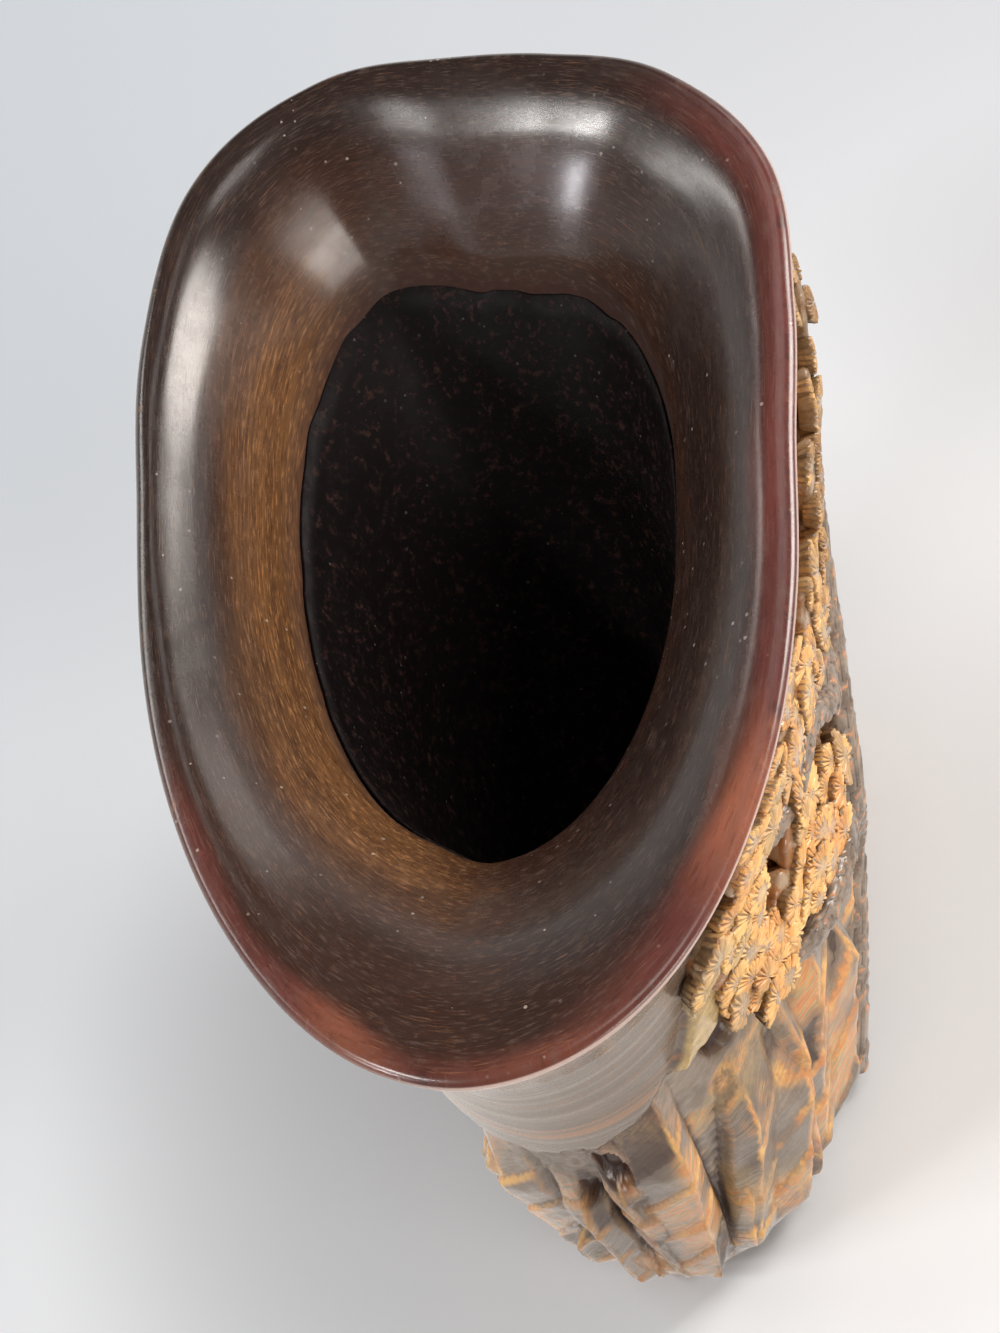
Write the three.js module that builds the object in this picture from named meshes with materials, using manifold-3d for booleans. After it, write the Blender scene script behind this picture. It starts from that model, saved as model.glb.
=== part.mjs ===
// A carved horn libation cup: a flared, polished mouth on a leaning horn wall with rocks
// and two pines in high relief, a dark coat in the hollow and a plug in the foot.
// Millimetres, +Z up. The origin is the middle of the foot's flat underside, +X points to
// the broad pouring end and -X to the grip end.
import * as THREE from 'three';
import { mergeVertices } from 'three/addons/utils/BufferGeometryUtils.js';
import Module from 'manifold-3d';

const wasm = await Module();
wasm.setup();

// Mouth
const mouthLength = 140;
const mouthWidth = 86;
const mouthHeight = 95.6;
const mouthRise = 6.5;
const mouthDip = 2.7;
const mouthLean = 20;
const rimThickness = 3.2;

// Foot
const footLength = 76;
const footWidth = 48;
const footEdge = 1.6;

// Throat, where the lip falls into the hollow
const throatLength = 89;
const throatWidth = 50.5;
const throatForward = 8;
const throatAside = 1.9;
const lipFall = 16;
const throatRound = 2.4;

// Hollow and the dark coat that lines it
const hollowLength = 46;
const hollowWidth = 27;
const hollowForward = 4;
const liningThickness = 1.1;
const liningDrop = 0.9;

// Plug that closes the foot
const plugBorder = 8.5;
const plugThickness = 8;
const plugBevel = 0.8;
const fitGap = 0.3;

// Carving on the wall
const carvedDepth = 2;
const carvedEdge = 2.4;
const footBand = 7;
const bankThickness = 5.2;
const rockProud = 5.4;
const rockBreadth = 21;

// Pines
const trunkRadius = 3.4;
const barkDepth = 0.6;
const branchRadius = 2.1;
const wheelRadius = 6.2;
const wheelProud = 3.8;
const wheelFall = 1.3;
const wheelEdge = 1.4;
const wheelGroove = 0.5;
const wheelStalk = 2.8;
const wheelRoot = 2;

// Steps of the surfaces
const ringSteps = 100;
const wallSteps = 27;
const lipSteps = 5;
const hollowSteps = 4;
const innerSteps = 36;
const trunkSteps = 18;
const branchSteps = 8;
const tubeSides = 9;
const wheelNeedles = 8;

// Outlines as [angle in degrees, share of the plain oval's radius]
const mouthShares = [[0, .99], [22, 1.085], [45, 1.185], [62, 1.115], [80, 1], [100, .96],
  [135, .95], [165, .98], [180, .995], [210, 1], [235, .963], [255, .937], [272, .944],
  [287, 1.025], [302, 1.13], [320, 1.088], [340, 1]];
const throatShares = [[0, .935], [15, 1.035], [30, 1.15], [55, 1.16], [90, 1.035], [120, .96],
  [160, .92], [180, .96], [240, .955], [270, .965], [300, 1.04], [320, 1.02], [345, .93]];

// Profiles as [share of the height, share of the way from the foot's size to the mouth's]
const gripShares = [[0, 0], [.2, .13], [.45, .29], [.7, .38], [.83, .5], [.93, .75], [1, 1]];
const spoutShares = [[0, 0], [.2, .13], [.42, .38], [.6, .62], [.78, .83], [.9, .93], [1, 1]];
const sideShares = [[0, 0], [.2, .12], [.45, .27], [.65, .36], [.8, .47], [.9, .63], [.96, .8], [1, 1]];
const lipShares = [[0, 0], [.12, .015], [.4, .2], [.75, .62], [1, 1]];
const hollowShares = [[0, 0], [.12, .16], [.3, .38], [.6, .7], [1, 1]];

// The carved zone's upper border, as [angle in degrees, share of the height]
const borderShares = [[0, .72], [30, .8], [75, .8], [110, .72], [150, .6], [192, .6],
  [208, .68], [222, .86], [260, .9], [310, .9], [335, .78]];
const bankShares = { middle: 292, reach: 78, low: .06, full: .5, fade: .84, high: .97 };

// Height share above which the wall leaves the foot's plain oval for the mouth's outline
const ovalTopShare = .25;

// Rocks as [foot angle, top angle, top share, breadth share, proudness share, lean share]
const nearRockShares = [
  [152, 150, .5, 1, .8, .35], [170, 172, .46, .8, .9, -.4], [181, 184, .58, .9, .8, .45],
  [190, 201, .62, 1.1, 1, -.45], [202, 219, .5, 1, .8, .4], [216, 233, .42, .85, 1, -.35],
  [230, 243, .58, 1, .75, .4], [246, 254, .42, .9, 1, -.3], [262, 268, .5, 1, .7, .45],
  [280, 288, .44, .9, .95, -.4],
];
const farRocks = 9;
const farRockStart = 300;
const farRockTurn = 192;
const farTopShares = [.58, .36, .5, .42, .66, .4, .54];
const farBreadthShares = [1.05, .8, 1, .9, 1.15];
const farProudShares = [.85, 1, .7, .92];
const farLeanShares = [.4, -.35, .25];
const farSweep = 7;
const lowRocks = 15;
const lowRockStart = 8;
const lowTopShares = [.24, .4, .3, .48, .2, .36];
const lowBreadthShares = [.5, .38, .6, .44];
const lowProudShares = [.9, .7, .8];
const lowSweep = 9;
const rockTaperShare = .45;
const rockCrestShare = .25;
const rockShoulderShare = .22;
const rockSideShare = .5;

// Paths as [angle, share of the height, share of the tube's radius that its middle stands out]
const nearTrunkShares = [[250, .03, .1], [257, .12, .2], [267, .21, .2], [273, .31, .1],
  [269, .42, .15], [272, .53, .2], [282, .62, .15], [293, .69, .2], [303, .77, .2], [313, .8, .1]];
const farTrunkShares = [[106, .03, .1], [100, .14, .3], [90, .24, .4], [86, .36, .3],
  [90, .47, .35], [82, .57, .4], [69, .63, .3], [57, .71, .3], [49, .76, .1]];
const branchShares = [
  [[266, .42, .1], [257, .46, .7], [247, .47, .6], [238, .52, .7], [232, .57, .2]],
  [[274, .6, .1], [265, .63, .7], [256, .7, .6], [246, .71, .7], [236, .75, .2]],
  [[289, .62, .1], [297, .58, .7], [306, .6, .7], [315, .58, .2]],
  [[94, .5, .1], [102, .52, .7], [112, .58, .7], [122, .6, .2]],
  [[74, .55, .1], [64, .5, .7], [54, .51, .7], [45, .48, .2]],
];

// Needle clusters as [angle, share of the height, number of wheels]
const clusterShares = [[224, .74, 3], [230, .6, 2], [236, .83, 3], [245, .6, 3], [252, .81, 3],
  [258, .56, 2], [268, .76, 3], [283, .79, 3], [296, .84, 2], [311, .68, 3], [324, .74, 2],
  [124, .68, 3], [109, .67, 3], [94, .66, 2], [75, .71, 3], [60, .59, 2], [40, .6, 3]];
const tubeTaperShare = .45;
const wheelSpread = 1;
const wheelHubShare = .33;
const wheelSizeShares = [1, .84, .9];

const degree = Math.PI / 180;
const fullTurn = 360;
const bodyRadius = (footLength + footWidth + mouthLength + mouthWidth) / 8;

// Smooth step from 0 at the first edge to 1 at the second.
function ease(low, high, value) {
  return THREE.MathUtils.smoothstep(value, low, high);
}

// Smooth curve through a table of rows, with its slope at each row taken from the neighbours.
function through(rows, slopes, value) {
  let row = 0;
  while (row < rows.length - 2 && value >= rows[row + 1][0]) row += 1;
  const [fromAt, fromValue] = rows[row];
  const [toAt, toValue] = rows[row + 1];
  const span = toAt - fromAt;
  const along = (value - fromAt) / span;
  const square = along * along;
  const cube = square * along;
  return (2 * cube - 3 * square + 1) * fromValue + (cube - 2 * square + along) * span * slopes[row]
    + (3 * square - 2 * cube) * toValue + (cube - square) * span * slopes[row + 1];
}

// Curve round a full turn through [angle, share] rows.
function aroundCurve(table) {
  const before = table.slice(-2).map(([angle, share]) => [angle - fullTurn, share]);
  const after = table.slice(0, 2).map(([angle, share]) => [angle + fullTurn, share]);
  const rows = [...before, ...table, ...after];
  const slopes = rows.map((row, at) => {
    const next = rows[Math.min(at + 1, rows.length - 1)];
    const last = rows[Math.max(at - 1, 0)];
    return (next[1] - last[1]) / (next[0] - last[0]);
  });
  return (angle) => through(rows, slopes, ((angle % fullTurn) + fullTurn) % fullTurn);
}

// Curve that never overshoots its [at, share] rows.
function risingCurve(rows) {
  const steps = rows.slice(1).map((row, at) => (row[1] - rows[at][1]) / (row[0] - rows[at][0]));
  const slopes = rows.map((row, at) => {
    if (at === 0) return steps[0];
    if (at === steps.length) return steps[at - 1];
    const product = steps[at - 1] * steps[at];
    return product > 0 ? 2 * product / (steps[at - 1] + steps[at]) : 0;
  });
  return (value) => through(rows, slopes, THREE.MathUtils.clamp(value, rows[0][0], rows.at(-1)[0]));
}

const mouthCurve = aroundCurve(mouthShares);
const throatCurve = aroundCurve(throatShares);
const borderCurve = aroundCurve(borderShares);
const gripCurve = risingCurve(gripShares);
const spoutCurve = risingCurve(spoutShares);
const sideCurve = risingCurve(sideShares);
const lipCurve = risingCurve(lipShares);
const hollowCurve = risingCurve(hollowShares);

// Height of the rim's surface over a place in plan: it climbs to the pouring end, stands a
// little up at both ends and dips at the sides.
function rimHeight(x, y) {
  const along = (x - mouthLean) / (mouthLength / 2);
  const across = y / (mouthWidth / 2);
  return mouthHeight + mouthRise * along + mouthDip * (along * along - across * across) / 2;
}

// Plan of the mouth's outline.
function mouthPlan(angle) {
  const share = mouthCurve(angle);
  return [
    mouthLean + mouthLength / 2 * share * Math.cos(angle * degree),
    mouthWidth / 2 * share * Math.sin(angle * degree),
  ];
}

// Turn from one angle to another, between minus and plus half a turn.
function turnBetween(from, to) {
  return ((to - from + 1.5 * fullTurn) % fullTurn + fullTurn) % fullTurn - fullTurn / 2;
}

// Rocks in an even turn, whose shares come round again and again.
function rockRow(count, start, turn, sweep, tops, breadths, prouds) {
  return Array.from({ length: count }, (_, at) => {
    const angle = start + turn * at;
    const lean = farLeanShares[at % farLeanShares.length];
    return [angle, angle + sweep * Math.sign(lean), tops[at % tops.length],
      breadths[at % breadths.length], prouds[at % prouds.length], lean];
  });
}

const allRockShares = [
  ...nearRockShares,
  ...rockRow(farRocks, farRockStart, farRockTurn / (farRocks - 1), farSweep,
    farTopShares, farBreadthShares, farProudShares),
  ...rockRow(lowRocks, lowRockStart, fullTurn / lowRocks, lowSweep,
    lowTopShares, lowBreadthShares, lowProudShares),
];

// Proudness of one rock: steep sides up to its shoulders, then planes that lean to a ridge,
// one of them broader than the other.
function rockHeight(rock, angle, share) {
  const [footAngle, topAngle, topShare, breadth, proud, lean] = rock;
  const along = share / topShare;
  if (along > 1) return 0;
  const middle = footAngle + turnBetween(footAngle, topAngle) * along;
  const across = turnBetween(middle, angle) * degree * bodyRadius;
  const half = rockBreadth / 2 * breadth * (1 - rockTaperShare * along);
  const flank = half * (across > 0 ? 1 + lean : 1 - lean);
  const crest = Math.min(1, (1 - along) / rockCrestShare);
  const rise = Math.max(0, 1 - Math.abs(across) / flank);
  const side = Math.min(1, rise / rockShoulderShare);
  const plane = Math.max(0, (rise - rockShoulderShare) / (1 - rockShoulderShare));
  return rockProud * proud * crest * THREE.MathUtils.lerp(plane, side, rockSideShare);
}

// Thickness that the carving adds to the plain wall, or takes from it. It starts over a plain
// band at the foot and ends in a sharp edge under the plain neck.
function carving(angle, share) {
  const border = borderCurve(angle);
  const inside = ease(0, footBand / mouthHeight, share)
    * (1 - ease(border - carvedEdge / mouthHeight, border, share));
  const rocks = Math.max(0, ...allRockShares.map((rock) => rockHeight(rock, angle, share)));
  return inside * (rocks - carvedDepth);
}

// Thicker horn on the side of the main pine.
function bank(angle, share) {
  const turn = Math.abs(turnBetween(bankShares.middle, angle));
  const around = 1 - ease(0, bankShares.reach, turn);
  const up = ease(bankShares.low, bankShares.full, share) - ease(bankShares.fade, bankShares.high, share);
  return bankThickness * around * up;
}

// Point of the outer wall, and the level direction out of it.
function wallPoint(angle, share, proud) {
  const grip = THREE.MathUtils.lerp(-footLength / 2, mouthLean - mouthLength / 2, gripCurve(share));
  const spout = THREE.MathUtils.lerp(footLength / 2, mouthLean + mouthLength / 2, spoutCurve(share));
  const side = THREE.MathUtils.lerp(footWidth / 2, mouthWidth / 2, sideCurve(share));
  const length = (spout - grip) / 2;
  const shape = 1 + (mouthCurve(angle) - 1) * ease(ovalTopShare, 1, share);
  const cos = Math.cos(angle * degree);
  const sin = Math.sin(angle * degree);
  const outward = new THREE.Vector3(cos / length, sin / side, 0).normalize();
  const height = share * rimHeight(...mouthPlan(angle));
  const point = new THREE.Vector3((grip + spout) / 2 + length * shape * cos, side * shape * sin, height);
  return { point: point.addScaledVector(outward, proud + bank(angle, share)), outward };
}

// Surface point of the wall with its carving.
function carvedPoint(angle, share, proud) {
  return wallPoint(angle, share, carving(angle, share) + proud).point;
}

// Point on the way from the mouth's outline to the throat's.
function lipPoint(angle, share, inset) {
  const [mouthX, mouthY] = mouthPlan(angle);
  const throat = throatCurve(angle);
  const throatX = mouthLean + throatForward + throatLength / 2 * throat * Math.cos(angle * degree);
  const throatY = throatAside + throatWidth / 2 * throat * Math.sin(angle * degree);
  const span = Math.hypot(mouthX - throatX, mouthY - throatY);
  const plan = THREE.MathUtils.lerp(inset / span, 1, share);
  const x = THREE.MathUtils.lerp(mouthX, throatX, plan);
  const y = THREE.MathUtils.lerp(mouthY, throatY, plan);
  return new THREE.Vector3(x, y, rimHeight(x, y) - lipFall * lipCurve(share));
}

const ledgeHeight = plugThickness + fitGap;

// Point of the hollow's wall, from the throat at 0 to the ledge over the plug at 1. The inset
// is measured towards the hollow's middle.
function hollowPoint(angle, share, inset) {
  const way = hollowCurve(share);
  const throat = THREE.MathUtils.lerp(throatCurve(angle), 1, way);
  const length = THREE.MathUtils.lerp(throatLength, hollowLength, way) / 2 * throat - inset;
  const width = THREE.MathUtils.lerp(throatWidth, hollowWidth, way) / 2 * throat - inset;
  const middleX = THREE.MathUtils.lerp(mouthLean + throatForward, hollowForward, share);
  const middleY = THREE.MathUtils.lerp(throatAside, 0, share);
  const x = middleX + length * Math.cos(angle * degree);
  const y = middleY + width * Math.sin(angle * degree);
  const top = lipPoint(angle, 1, 0).z - throatRound;
  return new THREE.Vector3(x, y, THREE.MathUtils.lerp(top, ledgeHeight, share));
}

// Point of a level oval about the foot's middle.
function ovalPoint(angle, halfLength, halfWidth, height) {
  const [cos, sin] = [Math.cos(angle * degree), Math.sin(angle * degree)];
  return new THREE.Vector3(halfLength * cos, halfWidth * sin, height);
}

// Ring of points at even angles.
function ring(steps, pointAt) {
  return Array.from({ length: steps }, (_, step) => pointAt(step * fullTurn / steps));
}

// Surface through rings of equal count, in order from low to high on the outside. A closed one
// joins its last ring to its first; any other has a middle point over each end ring.
function ringGeometry(rings, closed) {
  const steps = rings[0].length;
  const positions = rings.flat().flatMap((point) => point.toArray());
  const index = [];
  const joins = closed ? rings.length : rings.length - 1;
  for (let row = 0; row < joins; row += 1) {
    const next = (row + 1) % rings.length;
    for (let step = 0; step < steps; step += 1) {
      const beside = (step + 1) % steps;
      const [a, b] = [row * steps + step, row * steps + beside];
      const [c, d] = [next * steps + beside, next * steps + step];
      index.push(a, b, c, a, c, d);
    }
  }
  const ends = closed ? [] : [0, rings.length - 1];
  for (const row of ends) {
    const middle = new THREE.Vector3();
    rings[row].forEach((point) => middle.addScaledVector(point, 1 / steps));
    const centre = positions.length / 3;
    positions.push(...middle.toArray());
    for (let step = 0; step < steps; step += 1) {
      const pair = [row * steps + step, row * steps + (step + 1) % steps];
      index.push(centre, ...(row === 0 ? pair.reverse() : pair));
    }
  }
  const geometry = new THREE.BufferGeometry();
  geometry.setAttribute('position', new THREE.Float32BufferAttribute(positions, 3));
  geometry.setIndex(index);
  return geometry;
}

function toSolid(geometry) {
  const merged = mergeVertices(geometry);
  return new wasm.Manifold(new wasm.Mesh({
    numProp: 3,
    vertProperties: new Float32Array(merged.attributes.position.array),
    triVerts: new Uint32Array(merged.index.array),
  }));
}

function toGeometry(solid) {
  const mesh = solid.getMesh();
  const geometry = new THREE.BufferGeometry();
  geometry.setAttribute('position', new THREE.Float32BufferAttribute(mesh.vertProperties, 3));
  geometry.setIndex(new THREE.BufferAttribute(mesh.triVerts, 1));
  geometry.computeVertexNormals();
  return geometry;
}

const plugHalfLength = footLength / 2 - plugBorder;
const plugHalfWidth = footWidth / 2 - plugBorder;

// The horn: foot, carved wall, rim, lip, throat, hollow and the rebate for the plug. A growth
// above zero moves the outer wall out, for cutting what lies on it.
function hornGeometry(growth) {
  const rebate = (height) => (angle) => (
    ovalPoint(angle, plugHalfLength + fitGap, plugHalfWidth + fitGap, height)
  );
  const wall = Array.from({ length: wallSteps + 1 }, (_, step) => {
    const height = THREE.MathUtils.lerp(footEdge, mouthHeight - rimThickness, step / wallSteps);
    return (angle) => carvedPoint(angle, height / mouthHeight, growth);
  });
  const rimLevel = (angle) => rimHeight(...mouthPlan(angle));
  const lip = Array.from({ length: lipSteps + 1 }, (_, step) => (
    (angle) => lipPoint(angle, step / lipSteps, rimThickness)
  ));
  const hollow = Array.from({ length: hollowSteps + 1 }, (_, step) => (
    (angle) => hollowPoint(angle, step / hollowSteps, 0)
  ));
  const profile = [
    rebate(0),
    (angle) => ovalPoint(angle, footLength / 2 - footEdge, footWidth / 2 - footEdge, 0),
    ...wall,
    (angle) => wallPoint(angle, 1, growth).point.setZ(rimLevel(angle) - rimThickness / 2),
    (angle) => lipPoint(angle, 0, rimThickness / 3),
    ...lip,
    ...hollow,
    rebate(ledgeHeight),
  ];
  return ringGeometry(profile.map((pointAt) => ring(ringSteps, pointAt)), true);
}

// Dark coat in the hollow: an open-topped skin with its floor over the plug. A growth moves
// its outside out, for cutting.
function liningGeometry(growth) {
  const topShare = liningDrop / (mouthHeight - lipFall - ledgeHeight);
  const skin = (inset, floor) => Array.from({ length: hollowSteps + 1 }, (_, step) => (
    ring(innerSteps, (angle) => {
      const point = hollowPoint(angle, THREE.MathUtils.lerp(topShare, 1, step / hollowSteps), inset);
      return point.setZ(Math.max(point.z, floor));
    })
  ));
  const floor = ledgeHeight + fitGap;
  return ringGeometry([
    ...skin(fitGap - growth, floor).reverse(),
    ...skin(fitGap + liningThickness, floor + liningThickness),
  ], false);
}

// Oval plug with a bevel at its lower edge.
function plugGeometry() {
  const oval = (inset, height) => ring(innerSteps, (angle) => (
    ovalPoint(angle, plugHalfLength - inset, plugHalfWidth - inset, height)
  ));
  return ringGeometry([oval(plugBevel, 0), oval(0, plugBevel), oval(0, plugThickness)], false);
}

// Place on the plain wall with its outward normal and the directions round and up the wall.
function wallFrame(angle, share) {
  const step = carvedEdge / mouthHeight;
  const origin = wallPoint(angle, share, 0).point;
  const around = wallPoint(angle + 1, share, 0).point.sub(origin).normalize();
  const up = wallPoint(angle, share + step, 0).point.sub(wallPoint(angle, share - step, 0).point);
  const normal = around.clone().cross(up).normalize();
  return { origin, around, normal, up: normal.clone().cross(around) };
}

// Tapered tube that climbs over the wall, with a growth all round for cutting.
function tubeGeometry(pathShares, radius, steps, growth) {
  const stations = pathShares.map(([angle, share, proud]) => {
    const frame = wallFrame(angle, share);
    return frame.origin.addScaledVector(frame.normal, proud * radius);
  });
  const path = new THREE.CatmullRomCurve3(stations);
  const rings = Array.from({ length: steps + 1 }, (_, step) => {
    const along = step / steps;
    const centre = path.getPoint(along);
    const tangent = path.getTangent(along);
    const station = along * (pathShares.length - 1);
    const from = pathShares[Math.floor(station)];
    const to = pathShares[Math.ceil(station)];
    const angle = THREE.MathUtils.lerp(from[0], to[0], station % 1);
    const share = THREE.MathUtils.lerp(from[1], to[1], station % 1);
    const side = wallFrame(angle, share).normal.cross(tangent).normalize();
    const out = tangent.clone().cross(side);
    const end = step === 0 ? -growth : step === steps ? growth : 0;
    const size = radius * (1 - tubeTaperShare * along);
    return Array.from({ length: tubeSides }, (_, at) => {
      const turn = at * fullTurn / tubeSides * degree;
      const bark = barkDepth * size / trunkRadius * Math.sin(at * tubeSides + step * 2);
      return centre.clone().addScaledVector(tangent, end)
        .addScaledVector(side, (size + bark + growth) * Math.cos(turn))
        .addScaledVector(out, (size + bark + growth) * Math.sin(turn));
    });
  });
  return ringGeometry(rings, false);
}

// Wheel of needles: grooves run from its middle to its rim. With a stalk it stands on the
// wall, and without one it hangs on its neighbours.
function wheelGeometry(angle, share, size, stalked, growth) {
  const { origin, around, normal, up } = wallFrame(angle, share);
  const steps = wheelNeedles * 2;
  const place = (radius, height) => ring(steps, (turn) => origin.clone()
    .addScaledVector(around, radius(turn) * Math.cos(turn * degree))
    .addScaledVector(up, radius(turn) * Math.sin(turn * degree))
    .addScaledVector(normal, height(turn)));
  const groove = (turn) => Math.round(turn * steps / fullTurn) % 2;
  const rim = (turn) => size * wheelRadius + growth - groove(turn) * wheelGroove;
  const top = (turn) => wheelProud + growth - groove(turn) * wheelGroove / 2;
  const under = () => wheelProud - wheelFall - wheelEdge - growth;
  const stalk = () => wheelStalk + growth;
  const foot = stalked ? [place(stalk, () => -carvedDepth - wheelRoot), place(stalk, under)] : [];
  return ringGeometry([
    ...foot,
    place(rim, under),
    place(rim, (turn) => top(turn) - wheelFall - groove(turn) * wheelGroove / 2),
    place((turn) => rim(turn) * wheelHubShare, top),
  ], false);
}

// Three overlapping wheels on one stalk, turned from cluster to cluster.
function clusterSolid(at, growth) {
  const [angle, share, count] = clusterShares[at];
  const wheels = wheelSizeShares.slice(0, count).map((size, wheel) => {
    const turn = (wheel * 2 / wheelSizeShares.length + at / clusterShares.length) * Math.PI;
    const reach = wheel === 0 ? 0 : wheelSpread * wheelRadius * (wheel % 2 ? 1 : -1);
    const wheelAngle = angle + reach * Math.cos(turn) / (bodyRadius * degree);
    const wheelShare = share + reach * Math.sin(turn) / mouthHeight;
    return toSolid(wheelGeometry(wheelAngle, wheelShare, size, wheel === 0, growth));
  });
  return wheels.reduce((whole, wheel) => whole.add(wheel));
}

const group = new THREE.Group();

function finish(color, roughness) {
  return new THREE.MeshStandardMaterial({ color, roughness, metalness: 0 });
}

function addPiece(name, solid, material) {
  const mesh = new THREE.Mesh(toGeometry(solid), material);
  mesh.name = name;
  group.add(mesh);
}

// What is already on the wall, with the gap that the next piece keeps to it.
let taken = toSolid(hornGeometry(fitGap)).add(toSolid(liningGeometry(fitGap)));

// Adds a carved piece in the room that is left, without the chips that the cuts leave loose.
function addCarved(name, material, solidAt) {
  const [whole] = solidAt(0).subtract(taken).decompose().sort((a, b) => b.volume() - a.volume());
  taken = taken.add(solidAt(fitGap));
  addPiece(name, whole, material);
}

addPiece('horn_body', toSolid(hornGeometry(0)), finish(0x33211a, .3));
addPiece('cavity_lining', toSolid(liningGeometry(0)), finish(0x0d0908, .45));
addPiece('base_plug', toSolid(plugGeometry()), finish(0x2c1d16, .4));

const trunkFinish = finish(0x6a5442, .5);
const trunk = (pathShares) => (growth) => (
  toSolid(tubeGeometry(pathShares, trunkRadius, trunkSteps, growth))
);
addCarved('pine_trunk_near', trunkFinish, trunk(nearTrunkShares));
addCarved('pine_trunk_far', trunkFinish, trunk(farTrunkShares));

branchShares.forEach((pathShares, at) => {
  addCarved(`pine_branch_${at + 1}`, trunkFinish, (growth) => (
    toSolid(tubeGeometry(pathShares, branchRadius, branchSteps, growth))
  ));
});

const needleFinish = finish(0xa87f43, .5);
clusterShares.forEach((_, at) => {
  addCarved(`needle_cluster_${at + 1}`, needleFinish, (growth) => clusterSolid(at, growth));
});

export default group;
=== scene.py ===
"""A carved horn libation cup: its looks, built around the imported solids.

Surfaces are worked out in millimetres from the cup's own sizes and angles, and put into the
meshes in metres. Angles go round the cup in degrees: 0 is the broad pouring end (+X), 90 the
far side (+Y), 180 the grip end (-X) and 270 the side of the main pine (-Y). A height share
runs up the wall from 0 at the foot to 1 at the rim.
"""
import logging
from collections.abc import Callable, Sequence
from dataclasses import dataclass
from enum import Enum

import bpy
import numpy as np
from bpy.types import Material, Node, NodeSocket, NodeTree, Object
from mathutils import Matrix, Vector


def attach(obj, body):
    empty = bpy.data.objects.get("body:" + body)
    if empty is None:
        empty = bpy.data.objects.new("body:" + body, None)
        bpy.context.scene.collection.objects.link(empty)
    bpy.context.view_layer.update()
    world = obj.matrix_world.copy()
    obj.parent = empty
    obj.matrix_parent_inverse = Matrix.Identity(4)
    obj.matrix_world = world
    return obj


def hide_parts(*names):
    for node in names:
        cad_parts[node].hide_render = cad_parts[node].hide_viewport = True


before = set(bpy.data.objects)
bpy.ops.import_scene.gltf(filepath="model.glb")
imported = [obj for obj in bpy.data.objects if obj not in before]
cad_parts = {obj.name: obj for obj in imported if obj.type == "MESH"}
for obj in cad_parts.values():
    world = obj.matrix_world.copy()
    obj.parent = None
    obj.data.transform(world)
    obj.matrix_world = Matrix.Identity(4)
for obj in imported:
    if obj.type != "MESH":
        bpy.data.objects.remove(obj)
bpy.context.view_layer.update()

LOG = logging.getLogger("libation_cup")
MM = 0.001
FULL_TURN = 360.0
BODY = "root"
Row = tuple[float, ...]
Table = tuple[Row, ...]
Array = np.ndarray
Colour = tuple[int, int, int]


class Slot(Enum):
    """Material slots of the record."""

    POLISHED = "polished_horn"
    LINING = "dark_lining"
    PLUG = "plug_horn"
    BARK = "bark_horn"
    NEEDLES = "needle_horn"


def ease(low: float | Array, high: float | Array, value: Array) -> Array:
    """Smooth step from 0 at low to 1 at high: three times the square less twice the cube.

    Args:
        low: Value below which the step is 0.
        high: Value above which the step is 1.
        value: Where the step is read.

    Returns:
        The step's value at each place.
    """
    way = np.clip((value - low) / (high - low), 0.0, 1.0)
    return way * way * (3.0 - 2.0 * way)


def blend(first: Array | float, second: Array | float, way: Array) -> Array:
    """Straight mix of two values: the first at way 0 and the second at way 1."""
    return first + (second - first) * way


def unit(ways: Array) -> Array:
    """Ways in space, each at a length of 1."""
    return ways / np.linalg.norm(ways, axis=-1, keepdims=True)


def cubic(start: Array, end: Array, leaving: Array, arriving: Array, way: Array) -> Array:
    """Cubic curve from start to end, with its slope at each, at a way from 0 to 1."""
    square, cube = way**2, way**3
    return (
        (2 * cube - 3 * square + 1) * start + (cube - 2 * square + way) * leaving
        + (3 * square - 2 * cube) * end + (cube - square) * arriving)


def hermite(rows: Array, slopes: Array, value: Array) -> Array:
    """Cubic curve through rows of (place, value) with a slope at each row.

    Args:
        rows: Places and values, in rising order of place.
        slopes: The curve's slope at each row.
        value: Places where the curve is read.

    Returns:
        The curve's value at each place.
    """
    at = np.clip(np.searchsorted(rows[:, 0], value, side="right") - 1, 0, len(rows) - 2)
    span = rows[at + 1, 0] - rows[at, 0]
    way = (value - rows[at, 0]) / span
    return cubic(rows[at, 1], rows[at + 1, 1], span * slopes[at], span * slopes[at + 1], way)


def around_curve(table: Table, angle: Array) -> Array:
    """Smooth curve round a full turn through (angle, share) rows.

    Args:
        table: Angles in degrees and their shares.
        angle: Angles where the curve is read.

    Returns:
        The share at each angle.
    """
    turn = np.array([[FULL_TURN, 0.0]])
    rows = np.concatenate([np.array(table[-2:]) - turn, np.array(table), np.array(table[:2]) + turn])
    slopes = np.gradient(rows[:, 1], rows[:, 0])
    slopes[1:-1] = (rows[2:, 1] - rows[:-2, 1]) / (rows[2:, 0] - rows[:-2, 0])
    return hermite(rows, slopes, np.mod(angle, FULL_TURN))


def rising_curve(table: Table, value: Array) -> Array:
    """Smooth curve through (place, share) rows that never overshoots them.

    Args:
        table: Places and their shares, both rising.
        value: Places where the curve is read.

    Returns:
        The share at each place.
    """
    rows = np.array(table)
    steps = np.diff(rows[:, 1]) / np.diff(rows[:, 0])
    slopes = np.concatenate([steps[:1], np.zeros(len(steps) - 1), steps[-1:]])
    product = steps[1:] * steps[:-1]
    rising = product > 0
    slopes[1:-1][rising] = 2 * product[rising] / (steps[1:] + steps[:-1])[rising]
    return hermite(rows, slopes, np.clip(value, rows[0, 0], rows[-1, 0]))


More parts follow.
